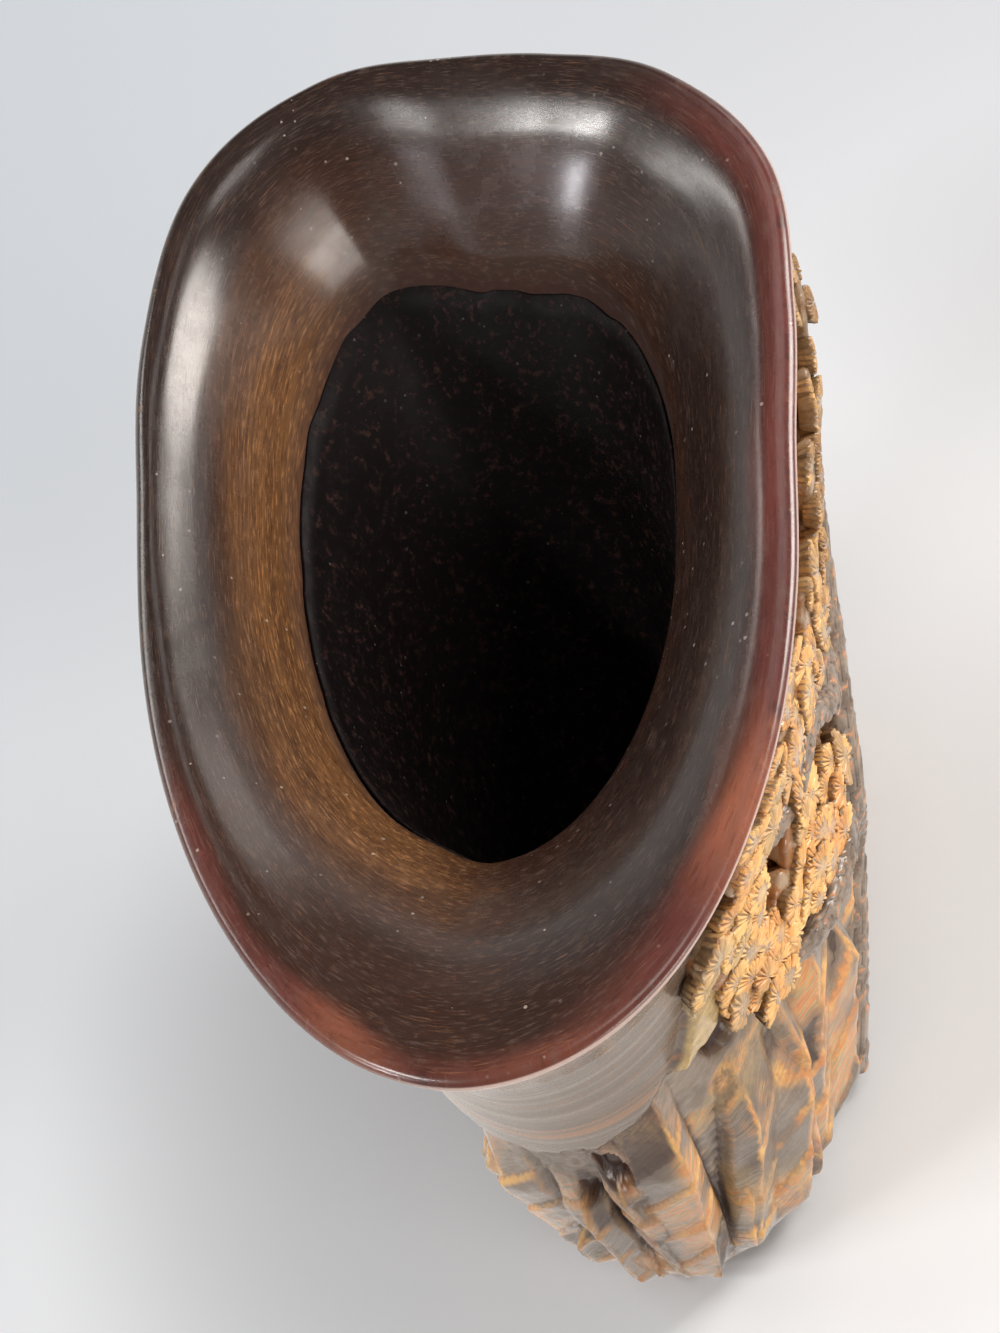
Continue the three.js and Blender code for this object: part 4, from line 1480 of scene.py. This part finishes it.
class Effects:
    """Shared shader effects, each a node group made once, from a place to a mask."""

    def __init__(self) -> None:
        """Makes the groups."""
        self.scratches = self.make("fine_scratches", self.scratch_mask, "Fine", "Amount")
        self.specks = self.make("specks", self.speck_mask, "Scale", "Amount")
        self.streaks = self.make("growth_streaks", self.streak_mask, "Fine", "Bend")
        self.pores = self.make("mottle", self.pore_mask, "Scale")

    @staticmethod
    def make(name: str, mask: Callable[..., Signal], *numbers: str) -> NodeTree:
        """Makes a group whose inputs are a place and some numbers.

        Args:
            name: The group's name.
            mask: Gives the mask from the place and the numbers.
            numbers: Names of the numbers.

        Returns:
            The group.
        """
        tree = bpy.data.node_groups.new(name, "ShaderNodeTree")
        tree.interface.new_socket("Place", in_out="INPUT", socket_type="NodeSocketVector")
        for label in numbers:
            tree.interface.new_socket(label, in_out="INPUT", socket_type="NodeSocketFloat")
        tree.interface.new_socket("Mask", in_out="OUTPUT", socket_type="NodeSocketFloat")
        graph, given = Graph(tree), tree.nodes.new("NodeGroupInput").outputs
        found = mask(*(Signal(graph, given[label]) for label in ("Place", *numbers)))
        graph.put(tree.nodes.new("NodeGroupOutput").inputs["Mask"], found)
        return tree

    @staticmethod
    def scratch_mask(place: Signal, fine: Signal, amount: Signal) -> Signal:
        """Fine lines along the first two axes: two layers of stretched noise, broken up.

        Args:
            place: Where the lines are read.
            fine: How close they lie.
            amount: Their strength.

        Returns:
            The mask.
        """
        layers = []
        for skew, across, seed in (((0.0, 0.0), 1.0, 3.1), ((0.09, -0.05), 1.45, 7.7)):
            x, y, z = place.split()
            line = (z + (x * skew[0] + y * skew[1])) * fine * across
            spot = place.graph.join(x * (2.4 * seed), y * (2.4 * seed), line)
            cover = place.noise(3.0 * seed, 2.0).band(0.42, 0.66)
            layers.append(spot.noise(1.0, 2.0, 0.6).band(0.6, 0.7) * cover)
        return layers[0].most(layers[1]) * amount

    @staticmethod
    def speck_mask(place: Signal, scale: Signal, amount: Signal) -> Signal:
        """Small separate dots: the middles of a few cells, each of its own size and strength.

        Args:
            place: Where the dots are read.
            scale: Cells in a metre.
            amount: Their strength.

        Returns:
            The mask.
        """
        graph = place.graph
        cells = graph.node("ShaderNodeTexVoronoi", {"Vector": place, "Scale": scale}).outputs
        kept, light, _ = Signal(graph, cells["Color"]).split()
        size = kept.band(0.55, 1.0) * 0.16
        return graph.math("LESS_THAN", Signal(graph, cells["Distance"]), size) * amount * light

    @staticmethod
    def streak_mask(place: Signal, fine: Signal, bend: Signal) -> Signal:
        """Growth bands of the horn: noise drawn out along the first two axes, slightly bent.

        Args:
            place: Where the bands are read.
            fine: How close they lie.
            bend: How far they wander.

        Returns:
            The mask.
        """
        x, y, z = place.split()
        line = (z + place.noise(1.7, 2.0) * bend) * fine
        return place.graph.join(x, y, line).noise(1.3, 5.0, 0.62).band(0.3, 0.72)

    @staticmethod
    def pore_mask(place: Signal, scale: Signal) -> Signal:
        """Mottling at the size of a tool's marks, from a broad noise and a fine one."""
        broad, fine = place.noise(scale, 4.0, 0.5), place.noise(scale * 6.0, 2.0, 0.5)
        return (broad * 0.7 + fine * 0.3).band(0.36, 0.64)


class Finish:
    """A finish, whose name is its material's."""

    name: str

    def values(self, graph: Graph, effects: Effects) -> dict[str, Value]:
        """Values of the shader's inputs by name, which each finish gives."""
        raise NotImplementedError

    def make(self, effects: Effects) -> Material:
        """Makes the material.

        Args:
            effects: The shared effects.

        Returns:
            The material.
        """
        material = bpy.data.materials.new(self.name)
        material.use_nodes = True
        graph = Graph(material.node_tree)
        inputs = material.node_tree.nodes["Principled BSDF"].inputs
        for label, value in self.values(graph, effects).items():
            graph.put(inputs[label], value)
        return material


@dataclass(frozen=True)
class HornFinish(Finish):
    """Colours and gloss of the polished and carved horn.

    Three ways in plan, each a direction of unit length, say where the painted highlight under the
    rim lies, where the neck has its painted reflection and where the carving has painted shade.
    """

    name: str = "polished_horn"
    base: Colour = (38, 24, 19)
    cool: Colour = (48, 35, 32)
    amber: Colour = (124, 86, 52)
    amber_dark: Colour = (106, 71, 44)
    red: Colour = (104, 52, 46)
    orange: Colour = (164, 96, 70)
    brown: Colour = (66, 38, 24)
    # Real dust on the lip, and also the neck's painted highlight under the rim and painted reflection.
    dust: Colour = (186, 172, 162)
    honey: Colour = (250, 194, 112)
    tan: Colour = (222, 144, 80)
    moss: Colour = (222, 188, 124)
    # Painted shade: the brown of the pockets, the grip end's side and the foot by the floor.
    shade_brown: Colour = (68, 47, 36)
    slate: Colour = (160, 145, 130)
    dark: Colour = (102, 85, 70)
    neck: Colour = (118, 101, 86)
    # Painted highlight: the pale pinkish line on the near rim's underside.
    edge: Colour = (240, 214, 202)
    # Painted shade: the near-black brown of hollows, pits and the throat's way down into the hollow.
    pit: Colour = (58, 26, 16)
    worn: Colour = (108, 90, 82)
    worn_amber: Colour = (180, 130, 82)
    gloss: float = 0.235
    carved_gloss: float = 0.26
    # Painted highlight: the way in plan where the rim's underside is pale.
    rim_highlight_way: Row = (-0.34, -0.94)
    # Painted reflection: the way in plan where the neck is paler.
    neck_reflection_way: Row = (-0.643, -0.766)
    # Painted shade: the way in plan of the darker grip end.
    painted_shade_way: Row = (-0.996, 0.087)

    def values(self, graph: Graph, effects: Effects) -> dict[str, Value]:
        """Colour of the lip, neck and carved wall, with their gloss and two layers of bumps.

        Args:
            graph: The material's graph.
            effects: The shared effects.

        Returns:
            Values of the shader's inputs by name.
        """
        flow, place, way = graph.vector("flow"), graph.place(), graph.vector("flow").split()[2]
        carved, lip, _ = graph.vector("zone").split()
        proud, hatch = graph.vector("relief").split()[0], graph.vector("form").split()[2]
        lines = graph.use(effects.streaks, flow, 70.0, 0.02)
        scratches = graph.use(effects.scratches, flow, 150.0, 1.0)
        mottle = graph.use(effects.pores, place, 260.0)
        fibre = flow.stretch(20.0, 20.0, 120.0).noise(1.0, 2.0, 0.6)
        inside = carved.band(0.25, 0.75)
        neck = self.neck_colour(graph, lines, scratches)
        outer = graph.mix(inside, neck, self.wall_colour(graph, mottle))
        colour = graph.mix(lip, outer, self.lip_colour(graph, effects, lines, scratches, fibre))
        smooth = scratches * 0.1 + mottle * 0.06 + self.gloss + way.band(0.95, 1.03, 0.0, 0.4)
        rough = proud.band(-0.9, -3.0) * 0.3 + self.carved_gloss
        normal = graph.bump(mottle * 0.35 - scratches * 0.5 + fibre * 0.5, 0.12, 0.08)
        tooled = place.noise(1500.0, 3.0) * 0.3 + self.strokes(graph) * hatch.band(0.0, 1.0, 0.5, 1.3)
        return {
            "Base Color": colour, "Roughness": graph.mix(inside * (1.0 - lip), smooth, rough),
            "IOR": 1.54, "Coat Weight": 0.32, "Coat Roughness": 0.17,
            "Normal": graph.bump(tooled * carved.band(0.2, 0.8), 0.5, 0.5, Normal=normal)}

    @staticmethod
    def towards(graph: Graph, way: tuple[float, float]) -> Signal:
        """Cosine of the turn from a way in plan to where a place lies round the cup."""
        x, y, _ = graph.vector("flow").split()
        return x * way[0] + y * way[1]

    @staticmethod
    def strokes(graph: Graph) -> Signal:
        """Noise drawn out along the lines that the carving gives each facet."""
        return graph.vector("lines").stretch(1.5, 0.16, 1.0).noise(1.0, 2.0, 0.5)

    @staticmethod
    def rays(graph: Graph) -> Signal:
        """Needles of the low fans: the cosine of the angle about a fan's middle, near its rim.

        Args:
            graph: The material's graph.

        Returns:
            The mask.
        """
        u, v, _ = graph.vector("fan").split()
        ray = graph.math("COSINE", graph.math("ARCTAN2", v, u) * 13.0)
        square = u * u + v * v
        return ray.band(-0.3, 0.5) * square.band(0.1, 0.24) * square.band(1.0, 0.72)

    def lip_colour(self, graph: Graph, effects: Effects, lines: Signal, scratches: Signal,
                   fibre: Signal) -> Signal:
        """Colour of the rim and lip: dark horn with amber, red and brown zones, worn and dusty.

        The amber is partly painted light, the near rim's underside has a painted highlight, and
        painted shade darkens the horn down into the hollow.

        Args:
            graph: The material's graph.
            effects: The shared effects.
            lines: Mask of fine growth bands.
            scratches: Mask of fine scratches.
            fibre: Noise along the lip's fibres.

        Returns:
            The colour.
        """
        flow, place, mix = graph.vector("flow"), graph.place(), graph.mix
        way, glow = flow.split()[2], graph.vector("zone").split()[2]
        amber, red, brown = graph.vector("tint").split()
        streaks = graph.use(effects.streaks, flow, 6.0, 0.3)
        colour = mix(streaks * 0.7, self.base, self.cool)
        colour = mix(brown * lines.band(0.0, 1.0, 0.5, 0.9), colour, self.brown)
        golden = mix(lines.band(0.1, 0.9), self.amber_dark, self.amber)
        # Amber on the far side of the throat, partly painted light.
        colour = mix(amber * streaks.band(0.0, 0.9, 0.62, 1.0), colour, golden)
        warm = mix(glow, self.red, self.orange)
        colour = mix(red * streaks.band(0.0, 1.0, 0.7, 1.0), colour, warm)
        spots = flow.noise(7.0, 4.0, 0.7).band(0.64, 0.74) * lines
        colour = mix(spots * 0.25, colour, self.orange)
        worn = fibre.band(0.52, 0.7) * (amber * 0.2 + 0.34)
        colour = mix(worn, colour, mix(amber, self.worn, self.worn_amber))
        colour = mix(fibre.band(0.46, 0.3) * 0.45, colour, self.base)
        colour = mix(scratches * (amber * 0.2 + 0.12), colour, self.tan)
        dust = graph.use(effects.specks, place, 680.0, 1.0) * place.noise(50.0, 2.0).band(0.36, 0.56)
        colour = mix(dust * 0.7, colour, self.dust)
        # Painted shade: the horn darkens to near black where the throat turns down into the hollow.
        colour = mix(way.band(1.0, 1.09), colour, self.pit)
        # Painted highlight: the rim's underside turns pale pinkish on the near side only.
        near = self.towards(graph, self.rim_highlight_way).band(-0.1, 0.4)
        return mix(way.band(-0.002, -0.014, 0.0, 0.65) * near, colour, self.edge)

    def neck_colour(self, graph: Graph, lines: Signal, scratches: Signal) -> Signal:
        """Colour of the plain neck: grey horn with scratches and runs.

        It has a painted highlight just under the rim and a painted reflection on the near side.

        Args:
            graph: The material's graph.
            lines: Mask of fine growth bands.
            scratches: Mask of fine scratches.

        Returns:
            The colour.
        """
        flow, mix = graph.vector("flow"), graph.mix
        way, runs = flow.split()[2], flow.stretch(0.4, 0.4, 70.0).noise(1.0, 2.0, 0.5)
        colour = mix(lines * 0.5, self.neck, self.dark)
        colour = mix(scratches * way.band(-0.7, -0.92, 0.15, 0.9), colour, self.tan)
        colour = mix(runs.band(0.56, 0.68) * 0.3, colour, self.tan)
        colour = mix(runs.band(0.48, 0.32) * 0.3, colour, self.dust)
        # Painted highlight: the neck paler just under the rim.
        colour = mix(way.band(-0.84, -0.93) * 0.4, colour, self.dust)
        # Painted reflection: the neck paler on the near side, where it mirrors the bright floor.
        return mix(self.towards(graph, self.neck_reflection_way).band(0.95, 0.995) * 0.4, colour, self.dust)

    def wall_colour(self, graph: Graph, mottle: Signal) -> Signal:
        """Colour of the carved wall: slate facets, tan edges and honey needles.

        Painted shade darkens the pits, pockets and hollows, the grip end's side and the foot.

        Args:
            graph: The material's graph.
            mottle: Mask of the mottling.

        Returns:
            The colour.
        """
        place, strokes, mix = graph.place(), self.strokes(graph), graph.mix
        honey, moss, facet = graph.vector("tint").split()
        proud, _, broad = graph.vector("relief").split()
        ridge, needle, hatch = graph.vector("form").split()
        colour = mix(facet.band(0.1, 0.6), self.dark, self.slate)
        colour = mix(mottle * 0.4, colour, self.dark)
        # Painted shade in the pockets, the facets of lowest chance.
        colour = mix(facet.band(0.25, 0.22) * 0.85, colour, self.shade_brown)
        colour = mix(moss * place.noise(1400.0, 3.0, 0.7).band(0.3, 0.7, 0.55, 1.0), colour, self.moss)
        gold = mix(mottle, self.tan, self.honey)
        colour = mix(honey * place.noise(700.0, 3.0, 0.6).band(0.35, 0.6, 0.3, 0.95), colour, gold)
        colour = mix(strokes.band(0.44, 0.54) * 0.22, colour, self.dark)
        cuts = hatch * place.noise(75.0, 3.0, 0.6).band(0.4, 0.56) * strokes.band(0.62, 0.5, 0.35, 1.0)
        colour = mix(cuts, colour, mix(strokes.band(0.4, 0.62), self.tan, self.moss))
        worn = place.noise(110.0, 4.0, 0.65).band(0.38, 0.55)
        colour = mix(ridge * (worn * 0.85 + 0.12), colour, gold)
        colour = mix(needle * self.rays(graph), colour, self.honey)
        # Painted shade in the hollows, the deep ground and the pits.
        hollow = broad.band(-0.5, -1.5).most(proud.band(-2.5, -3.6)).most(facet.band(-0.1, -0.7))
        colour = mix(hollow * 0.9, colour, self.pit)
        # Painted shade: the grip end's side below the neck, away from the lamps, and the foot by the floor.
        painted_shade = self.towards(graph, self.painted_shade_way).band(0.9, 0.99)
        painted_shade = painted_shade * graph.vector("flow").split()[2].band(-0.8, -0.7) * 0.4
        foot = place.split()[2].band(0.009, 0.001) * 0.55
        return mix(painted_shade.most(foot), colour, self.shade_brown)


@dataclass(frozen=True)
class NeedleFinish(Finish):
    """Colours of the needle clusters."""

    name: str = "needle_horn"
    gold: Colour = (252, 206, 132)
    orange: Colour = (232, 162, 88)
    groove: Colour = (160, 108, 66)
    middle: Colour = (176, 150, 122)
    shade: Colour = (190, 168, 130)
    # Painted shade on the wheels' sides, and also the browner tone towards the pouring end.
    side: Colour = (120, 96, 68)

    def values(self, graph: Graph, effects: Effects) -> dict[str, Value]:
        """Light needles, greyish middles and dark grooves.

        The wheels' sides have painted shade, and the clusters turn browner towards the pouring end.

        Args:
            graph: The material's graph.
            effects: The shared effects.

        Returns:
            Values of the shader's inputs by name.
        """
        place, mix = graph.place(), graph.mix
        ridge, out, chance = graph.vector("needle").split()
        mottle, broad = (graph.use(effects.pores, place, scale) for scale in (420.0, 90.0))
        grey = chance.band(0.55, 1.0) * 0.75 * mottle.band(0.0, 1.0, 0.4, 1.0)
        light = mix(grey, mix(broad, self.gold, self.orange), self.shade)
        middle = mix(mottle * 0.7, self.middle, light)
        gap = mix(mottle.band(0.2, 0.8), self.groove, self.middle)
        colour = mix(ridge.band(0.15, 0.6), mix(out.band(0.3, 0.75), middle, gap), light)
        # Painted shade on the wheels' sides.
        painted_shade = out.band(1.1, 1.7) * place.noise(300.0, 3.0, 0.6).band(0.62, 0.42, 0.25, 0.9)
        colour = mix(painted_shade, colour, self.side)
        far = place.split()[0].band(-0.005, 0.03) * broad.band(0.0, 0.8, 0.25, 0.75)
        return {
            "Base Color": mix(far, colour, self.side), "Roughness": mottle.band(0.0, 1.0, 0.24, 0.42),
            "Coat Weight": 0.5, "Coat Roughness": 0.16,
            "Normal": graph.bump(place.noise(1600.0), 0.5, 0.16)}


@dataclass(frozen=True)
class BarkFinish(Finish):
    """Colours of the trunks and branches."""

    name: str = "bark_horn"
    grey: Colour = (150, 134, 118)
    tan: Colour = (216, 144, 88)
    crack: Colour = (66, 42, 28)
    dark: Colour = (108, 90, 74)

    def values(self, graph: Graph, effects: Effects) -> dict[str, Value]:
        """Greyish scales with tan edges over dark cracks.

        Args:
            graph: The material's graph.
            effects: The shared effects.

        Returns:
            Values of the shader's inputs by name.
        """
        place = graph.place()
        scale, _, knots = graph.vector("bark").split()
        mottle = graph.use(effects.pores, place, 280.0)
        colour = graph.mix(mottle, self.dark, self.grey)
        colour = graph.mix(scale.band(0.62, 0.95) * mottle.band(0.2, 0.7), colour, self.tan)
        cracks = scale.band(0.22, 0.02).most(knots.band(-0.3, -0.8))
        return {
            "Base Color": graph.mix(cracks * 0.8, colour, self.crack),
            "Roughness": mottle.band(0.0, 1.0, 0.28, 0.42), "Coat Weight": 0.6, "Coat Roughness": 0.16,
            "Normal": graph.bump(place.noise(1400.0), 0.4, 0.16)}


@dataclass(frozen=True)
class DarkFinish(Finish):
    """Colour and gloss of the hollow's near-black skin or of the plug.

    Attributes:
        name: The material's name.
        base: Main colour.
        fleck: Colour of the flecks.
        rough: Roughness.
        shine: Level of its mirror light.
        dust: Colour of the dust.
    """

    name: str
    base: Colour
    fleck: Colour
    rough: float
    shine: float
    dust: Colour = (150, 142, 136)

    def values(self, graph: Graph, effects: Effects) -> dict[str, Value]:
        """A dark base with flecks, specks of dust and fine scratches.

        Args:
            graph: The material's graph.
            effects: The shared effects.

        Returns:
            Values of the shader's inputs by name.
        """
        place = graph.place()
        mottle = graph.use(effects.pores, place, 420.0)
        scratches = graph.use(effects.scratches, place.stretch(30.0, 30.0, 30.0), 60.0, 1.0)
        dust = graph.use(effects.specks, place, 700.0, 0.8)
        flecks = place.noise(900.0, 4.0, 0.7).band(0.5, 0.66) * mottle
        colour = graph.mix(flecks, self.base, self.fleck)
        return {
            "Base Color": graph.mix(dust * 0.3, colour, self.dust),
            "Roughness": mottle * 0.12 + self.rough - scratches * 0.06,
            "Specular IOR Level": self.shine,
            "Normal": graph.bump(place.noise(1200.0), 0.3, 0.12)}


@dataclass(frozen=True)
class Lamp:
    """A soft area lamp a metre from the cup's middle, which it looks at.

    Attributes:
        name: Its name.
        azimuth: Direction in plan in degrees, from +X towards +Y.
        elevation: Degrees above the horizon.
        size: Breadth and height in metres.
        power: Watts.
        colour: Its colour.
    """

    name: str
    azimuth: float
    elevation: float
    size: tuple[float, float]
    power: float
    colour: tuple[float, float, float]

    def build(self, middle: Vector) -> None:
        """Adds the lamp.

        Args:
            middle: Place that it looks at, in metres.
        """
        light = bpy.data.lights.new(self.name, "AREA")
        light.shape = "RECTANGLE"
        light.size, light.size_y = self.size
        light.energy = self.power
        light.color = self.colour
        around, above = np.radians(self.azimuth), np.radians(self.elevation)
        out = Vector((np.cos(above) * np.cos(around), np.cos(above) * np.sin(around), np.sin(above)))
        obj = bpy.data.objects.new(self.name, light)
        obj.location = middle + out
        obj.rotation_euler = (-out).to_track_quat("-Z", "Y").to_euler()
        bpy.context.scene.collection.objects.link(obj)


@dataclass(frozen=True)
class Studio:
    """Pale floor, soft lamps and the photograph's camera.

    Lengths are in metres, and colours are linear. The floor's four colours are those of its
    far and near ends, each away from the window and by it.
    """

    eye: Row = (-0.16136, -0.08074, 0.32505)
    forward: Row = (0.5513, 0.2606, -0.7925)
    up: Row = (0.83427, -0.18037, 0.52102)
    lens: float = 70.2
    sensor: float = 36.0
    middle: Row = (0.02, 0.0, 0.07)
    floor_half: float = 3.0
    air: Row = (1.0, 0.97, 0.94, 1.0)
    floor_far: Table = ((0.584, 0.634, 0.692, 1), (0.58, 0.612, 0.66, 1))
    floor_near: Table = ((0.55, 0.58, 0.62, 1), (0.8, 0.83, 0.86, 1))
    floor_seen: Row = (1.0, 0.99, 0.97, 1)
    floor_mirrored: Row = (1.0, 0.95, 0.9, 1)
    lamps: tuple[Lamp, ...] = (
        Lamp("tall_window", -62.0, 38.0, (0.3, 0.46), 7.2, (1.0, 0.93, 0.87)),
        Lamp("soft_window", -28.0, 31.0, (0.3, 0.34), 0.7, (1.0, 0.95, 0.9)),
        Lamp("side_window", -133.0, 26.0, (0.6, 0.16), 3.2, (1.0, 0.93, 0.87)),
        Lamp("slit_window", 119.0, 48.0, (0.24, 0.05), 2.5, (1.0, 0.98, 0.95)),
        Lamp("low_window", 124.0, 28.0, (0.14, 0.06), 1.4, (0.97, 0.95, 1.0)),
        Lamp("roof_window", -105.0, 80.0, (0.3, 0.26), 1.0, (1.0, 0.95, 0.92)),
        Lamp("far_window", 70.0, 38.0, (0.6, 0.13), 2.1, (1.0, 0.97, 0.93)),
        Lamp("high_window", -5.0, 63.0, (0.2, 0.2), 0.25, (1.0, 0.96, 0.94)),
    )

    def build(self) -> None:
        """Adds the floor, the air's light, the lamps and the camera."""
        bpy.context.scene.view_settings.view_transform = "Standard"
        self.floor()
        self.light_air()
        for lamp in self.lamps:
            lamp.build(Vector(self.middle))
        self.camera()

    def light_air(self) -> None:
        """World light: brightest by the horizon, and falling off with height."""
        world = bpy.data.worlds.new("studio_air")
        world.use_nodes = True
        graph, inputs = Graph(world.node_tree), world.node_tree.nodes["Background"].inputs
        height = graph.add("ShaderNodeTexCoord", {}, "Generated").split()[2]
        graph.put(inputs["Color"], self.air)
        graph.put(inputs["Strength"], height.band(0.05, 0.5, 0.95, 0.11))
        bpy.context.scene.world = world

    def camera(self) -> None:
        """Camera at the photograph's place, turned by its own right, up and back ways."""
        lens = bpy.data.cameras.new("photo_camera")
        lens.lens, lens.sensor_width, lens.sensor_fit = self.lens, self.sensor, "AUTO"
        lens.clip_start = 0.01
        obj = bpy.data.objects.new("photo_camera", lens)
        forward, up = Vector(self.forward), Vector(self.up)
        right = forward.cross(up).normalized()
        up = right.cross(forward).normalized()
        turn = Matrix((right, up, -forward.normalized())).transposed()
        obj.matrix_world = Matrix.Translation(self.eye) @ turn.to_4x4()
        bpy.context.scene.collection.objects.link(obj)
        bpy.context.scene.camera = obj

    def floor_surface(self, material: Material) -> None:
        """Floor's shader: a matte floor that the camera sees a little lifted away from the cup.

        It is lighter towards the window and the near end, and polished horn sees it at its
        full brightness. The square of the distance from the cup fades the lift, and close to the
        cup there is none, which leaves a painted shadow round it.

        Args:
            material: The floor's material.
        """
        graph, nodes = Graph(material.node_tree), material.node_tree.nodes
        shader = nodes["Principled BSDF"]
        x, y, _ = graph.place().split()
        across, down = y.band(0.12, -0.06), x.band(0.22, -0.04)
        far, near = graph.mix(across, *self.floor_far), graph.mix(across, *self.floor_near)
        graph.put(shader.inputs["Base Color"], graph.mix(down, far, near))
        graph.put(shader.inputs["Roughness"], 0.9)
        graph.put(shader.inputs["Specular IOR Level"], 0.1)
        camera, glossy = (
            graph.add("ShaderNodeLightPath", {}, f"Is {ray} Ray") for ray in ("Camera", "Glossy"))
        apart = x * x + y * y
        lift = down * down * down * 0.31 + across * down * 0.08
        # Painted shadow: no lift close to the cup, so the floor is darker round it.
        lift = lift * apart.band(0.003, 0.011) * apart.band(0.12, 0.04) + apart.band(0.15, 2.5, 0.0, 0.5)
        pale = graph.add("ShaderNodeEmission", {"Color": self.floor_seen, "Strength": lift * camera})
        glow = graph.add("ShaderNodeEmission", {"Color": self.floor_mirrored, "Strength": 0.95})
        plain = graph.add("ShaderNodeAddShader", {0: Signal(graph, shader.outputs[0]), 1: pale})
        both = graph.add("ShaderNodeMixShader", {0: glossy, 1: plain, 2: glow})
        graph.put(nodes["Material Output"].inputs["Surface"], both)

    def floor(self) -> None:
        """Adds the floor: one flat square that the cup stands on."""
        half = self.floor_half
        mesh = bpy.data.meshes.new("floor")
        corners = [(-half, -half, 0), (half, -half, 0), (half, half, 0), (-half, half, 0)]
        mesh.from_pydata(corners, [], [(0, 1, 2, 3)])
        material = bpy.data.materials.new("pale_floor")
        material.use_nodes = True
        self.floor_surface(material)
        mesh.materials.append(material)
        obj = bpy.data.objects.new("floor", mesh)
        bpy.context.scene.collection.objects.link(obj)


@dataclass
class PineParts:
    """Paths of the trunks and branches and places of the needle clusters."""

    form: CupForm
    trunk_radius: float = 3.4
    branch_radius: float = 2.1
    near_trunk: Table = (
        (250, .03, .1), (257, .12, .2), (267, .21, .2), (273, .31, .1), (269, .42, .15), (272, .53, .2),
        (282, .62, .15), (293, .69, .2), (303, .77, .2), (313, .8, .1))
    far_trunk: Table = (
        (106, .03, .1), (100, .14, .3), (90, .24, .4), (86, .36, .3), (90, .47, .35), (82, .57, .4),
        (69, .63, .3), (57, .71, .3), (49, .76, .1))
    branches: tuple[Table, ...] = (
        ((266, .42, .1), (257, .46, .7), (247, .47, .6), (238, .52, .7), (232, .57, .2)),
        ((274, .6, .1), (265, .63, .7), (256, .7, .6), (246, .71, .7), (236, .75, .2)),
        ((289, .62, .1), (297, .58, .7), (306, .6, .7), (315, .58, .2)),
        ((94, .5, .1), (102, .52, .7), (112, .58, .7), (122, .6, .2)),
        ((74, .55, .1), (64, .5, .7), (54, .51, .7), (45, .48, .2)))
    clusters: tuple[tuple[float, float, int], ...] = (
        (224, .74, 3), (230, .6, 2), (236, .83, 3), (245, .6, 3), (252, .81, 3), (258, .56, 2),
        (268, .76, 3), (283, .79, 3), (296, .84, 2), (311, .68, 3), (324, .74, 2), (124, .68, 3),
        (109, .67, 3), (94, .66, 2), (75, .71, 3), (60, .59, 2), (40, .6, 3))

    def build(self, bark: Material, needles: Material) -> None:
        """Makes the stems and clusters and ties each to its CAD node.

        Args:
            bark: Material of the stems.
            needles: Material of the clusters.
        """
        stems = [
            Stem(self.form, self.near_trunk, self.trunk_radius, "near_pine_trunk", "pine_trunk_near"),
            Stem(self.form, self.far_trunk, self.trunk_radius, "far_pine_trunk", "pine_trunk_far")]
        stems += [
            Stem(self.form, rows, self.branch_radius, f"pine_twig_{at + 1}", f"pine_branch_{at + 1}",
                 around=40, along=120)
            for at, rows in enumerate(self.branches)]
        for stem in stems:
            tie(stem.build(bark), Slot.BARK, stem.node)
        for at, (angle, share, count) in enumerate(self.clusters):
            cluster = Cluster(self.form, at, angle, share, count)
            tie(cluster.build(needles), Slot.NEEDLES, f"needle_cluster_{at + 1}")


def tie(obj: Object, slot: Slot, *nodes: str) -> None:
    """Rides a piece on the body, in place of its CAD nodes.

    Args:
        obj: The piece.
        slot: Its material slot, which is not used.
        nodes: CAD nodes that it stands for.
    """
    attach(obj, BODY)
    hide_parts(*nodes)
    LOG.info("%s stands for %s", obj.name, ", ".join(nodes))


def main() -> None:
    """Builds the cup and its studio."""
    logging.basicConfig(level=logging.INFO, format="%(name)s: %(message)s")
    form, effects = CupForm(), Effects()
    horn = HornFinish().make(effects)
    lining = DarkFinish("dark_lining", (14, 9, 10), (56, 37, 33), 0.5, 0.13).make(effects)
    plug = DarkFinish("plug_horn", (48, 34, 28), (84, 62, 46), 0.34, 0.4).make(effects)
    tie(HornBody(form, Carving(form)).build(horn), Slot.POLISHED, "horn_body")
    tie(Lining(form).build(lining), Slot.LINING, "cavity_lining")
    tie(Plug(form).build(plug), Slot.PLUG, "base_plug")
    PineParts(form).build(BarkFinish().make(effects), NeedleFinish().make(effects))
    Studio().build()


if __name__ == "__main__":
    main()
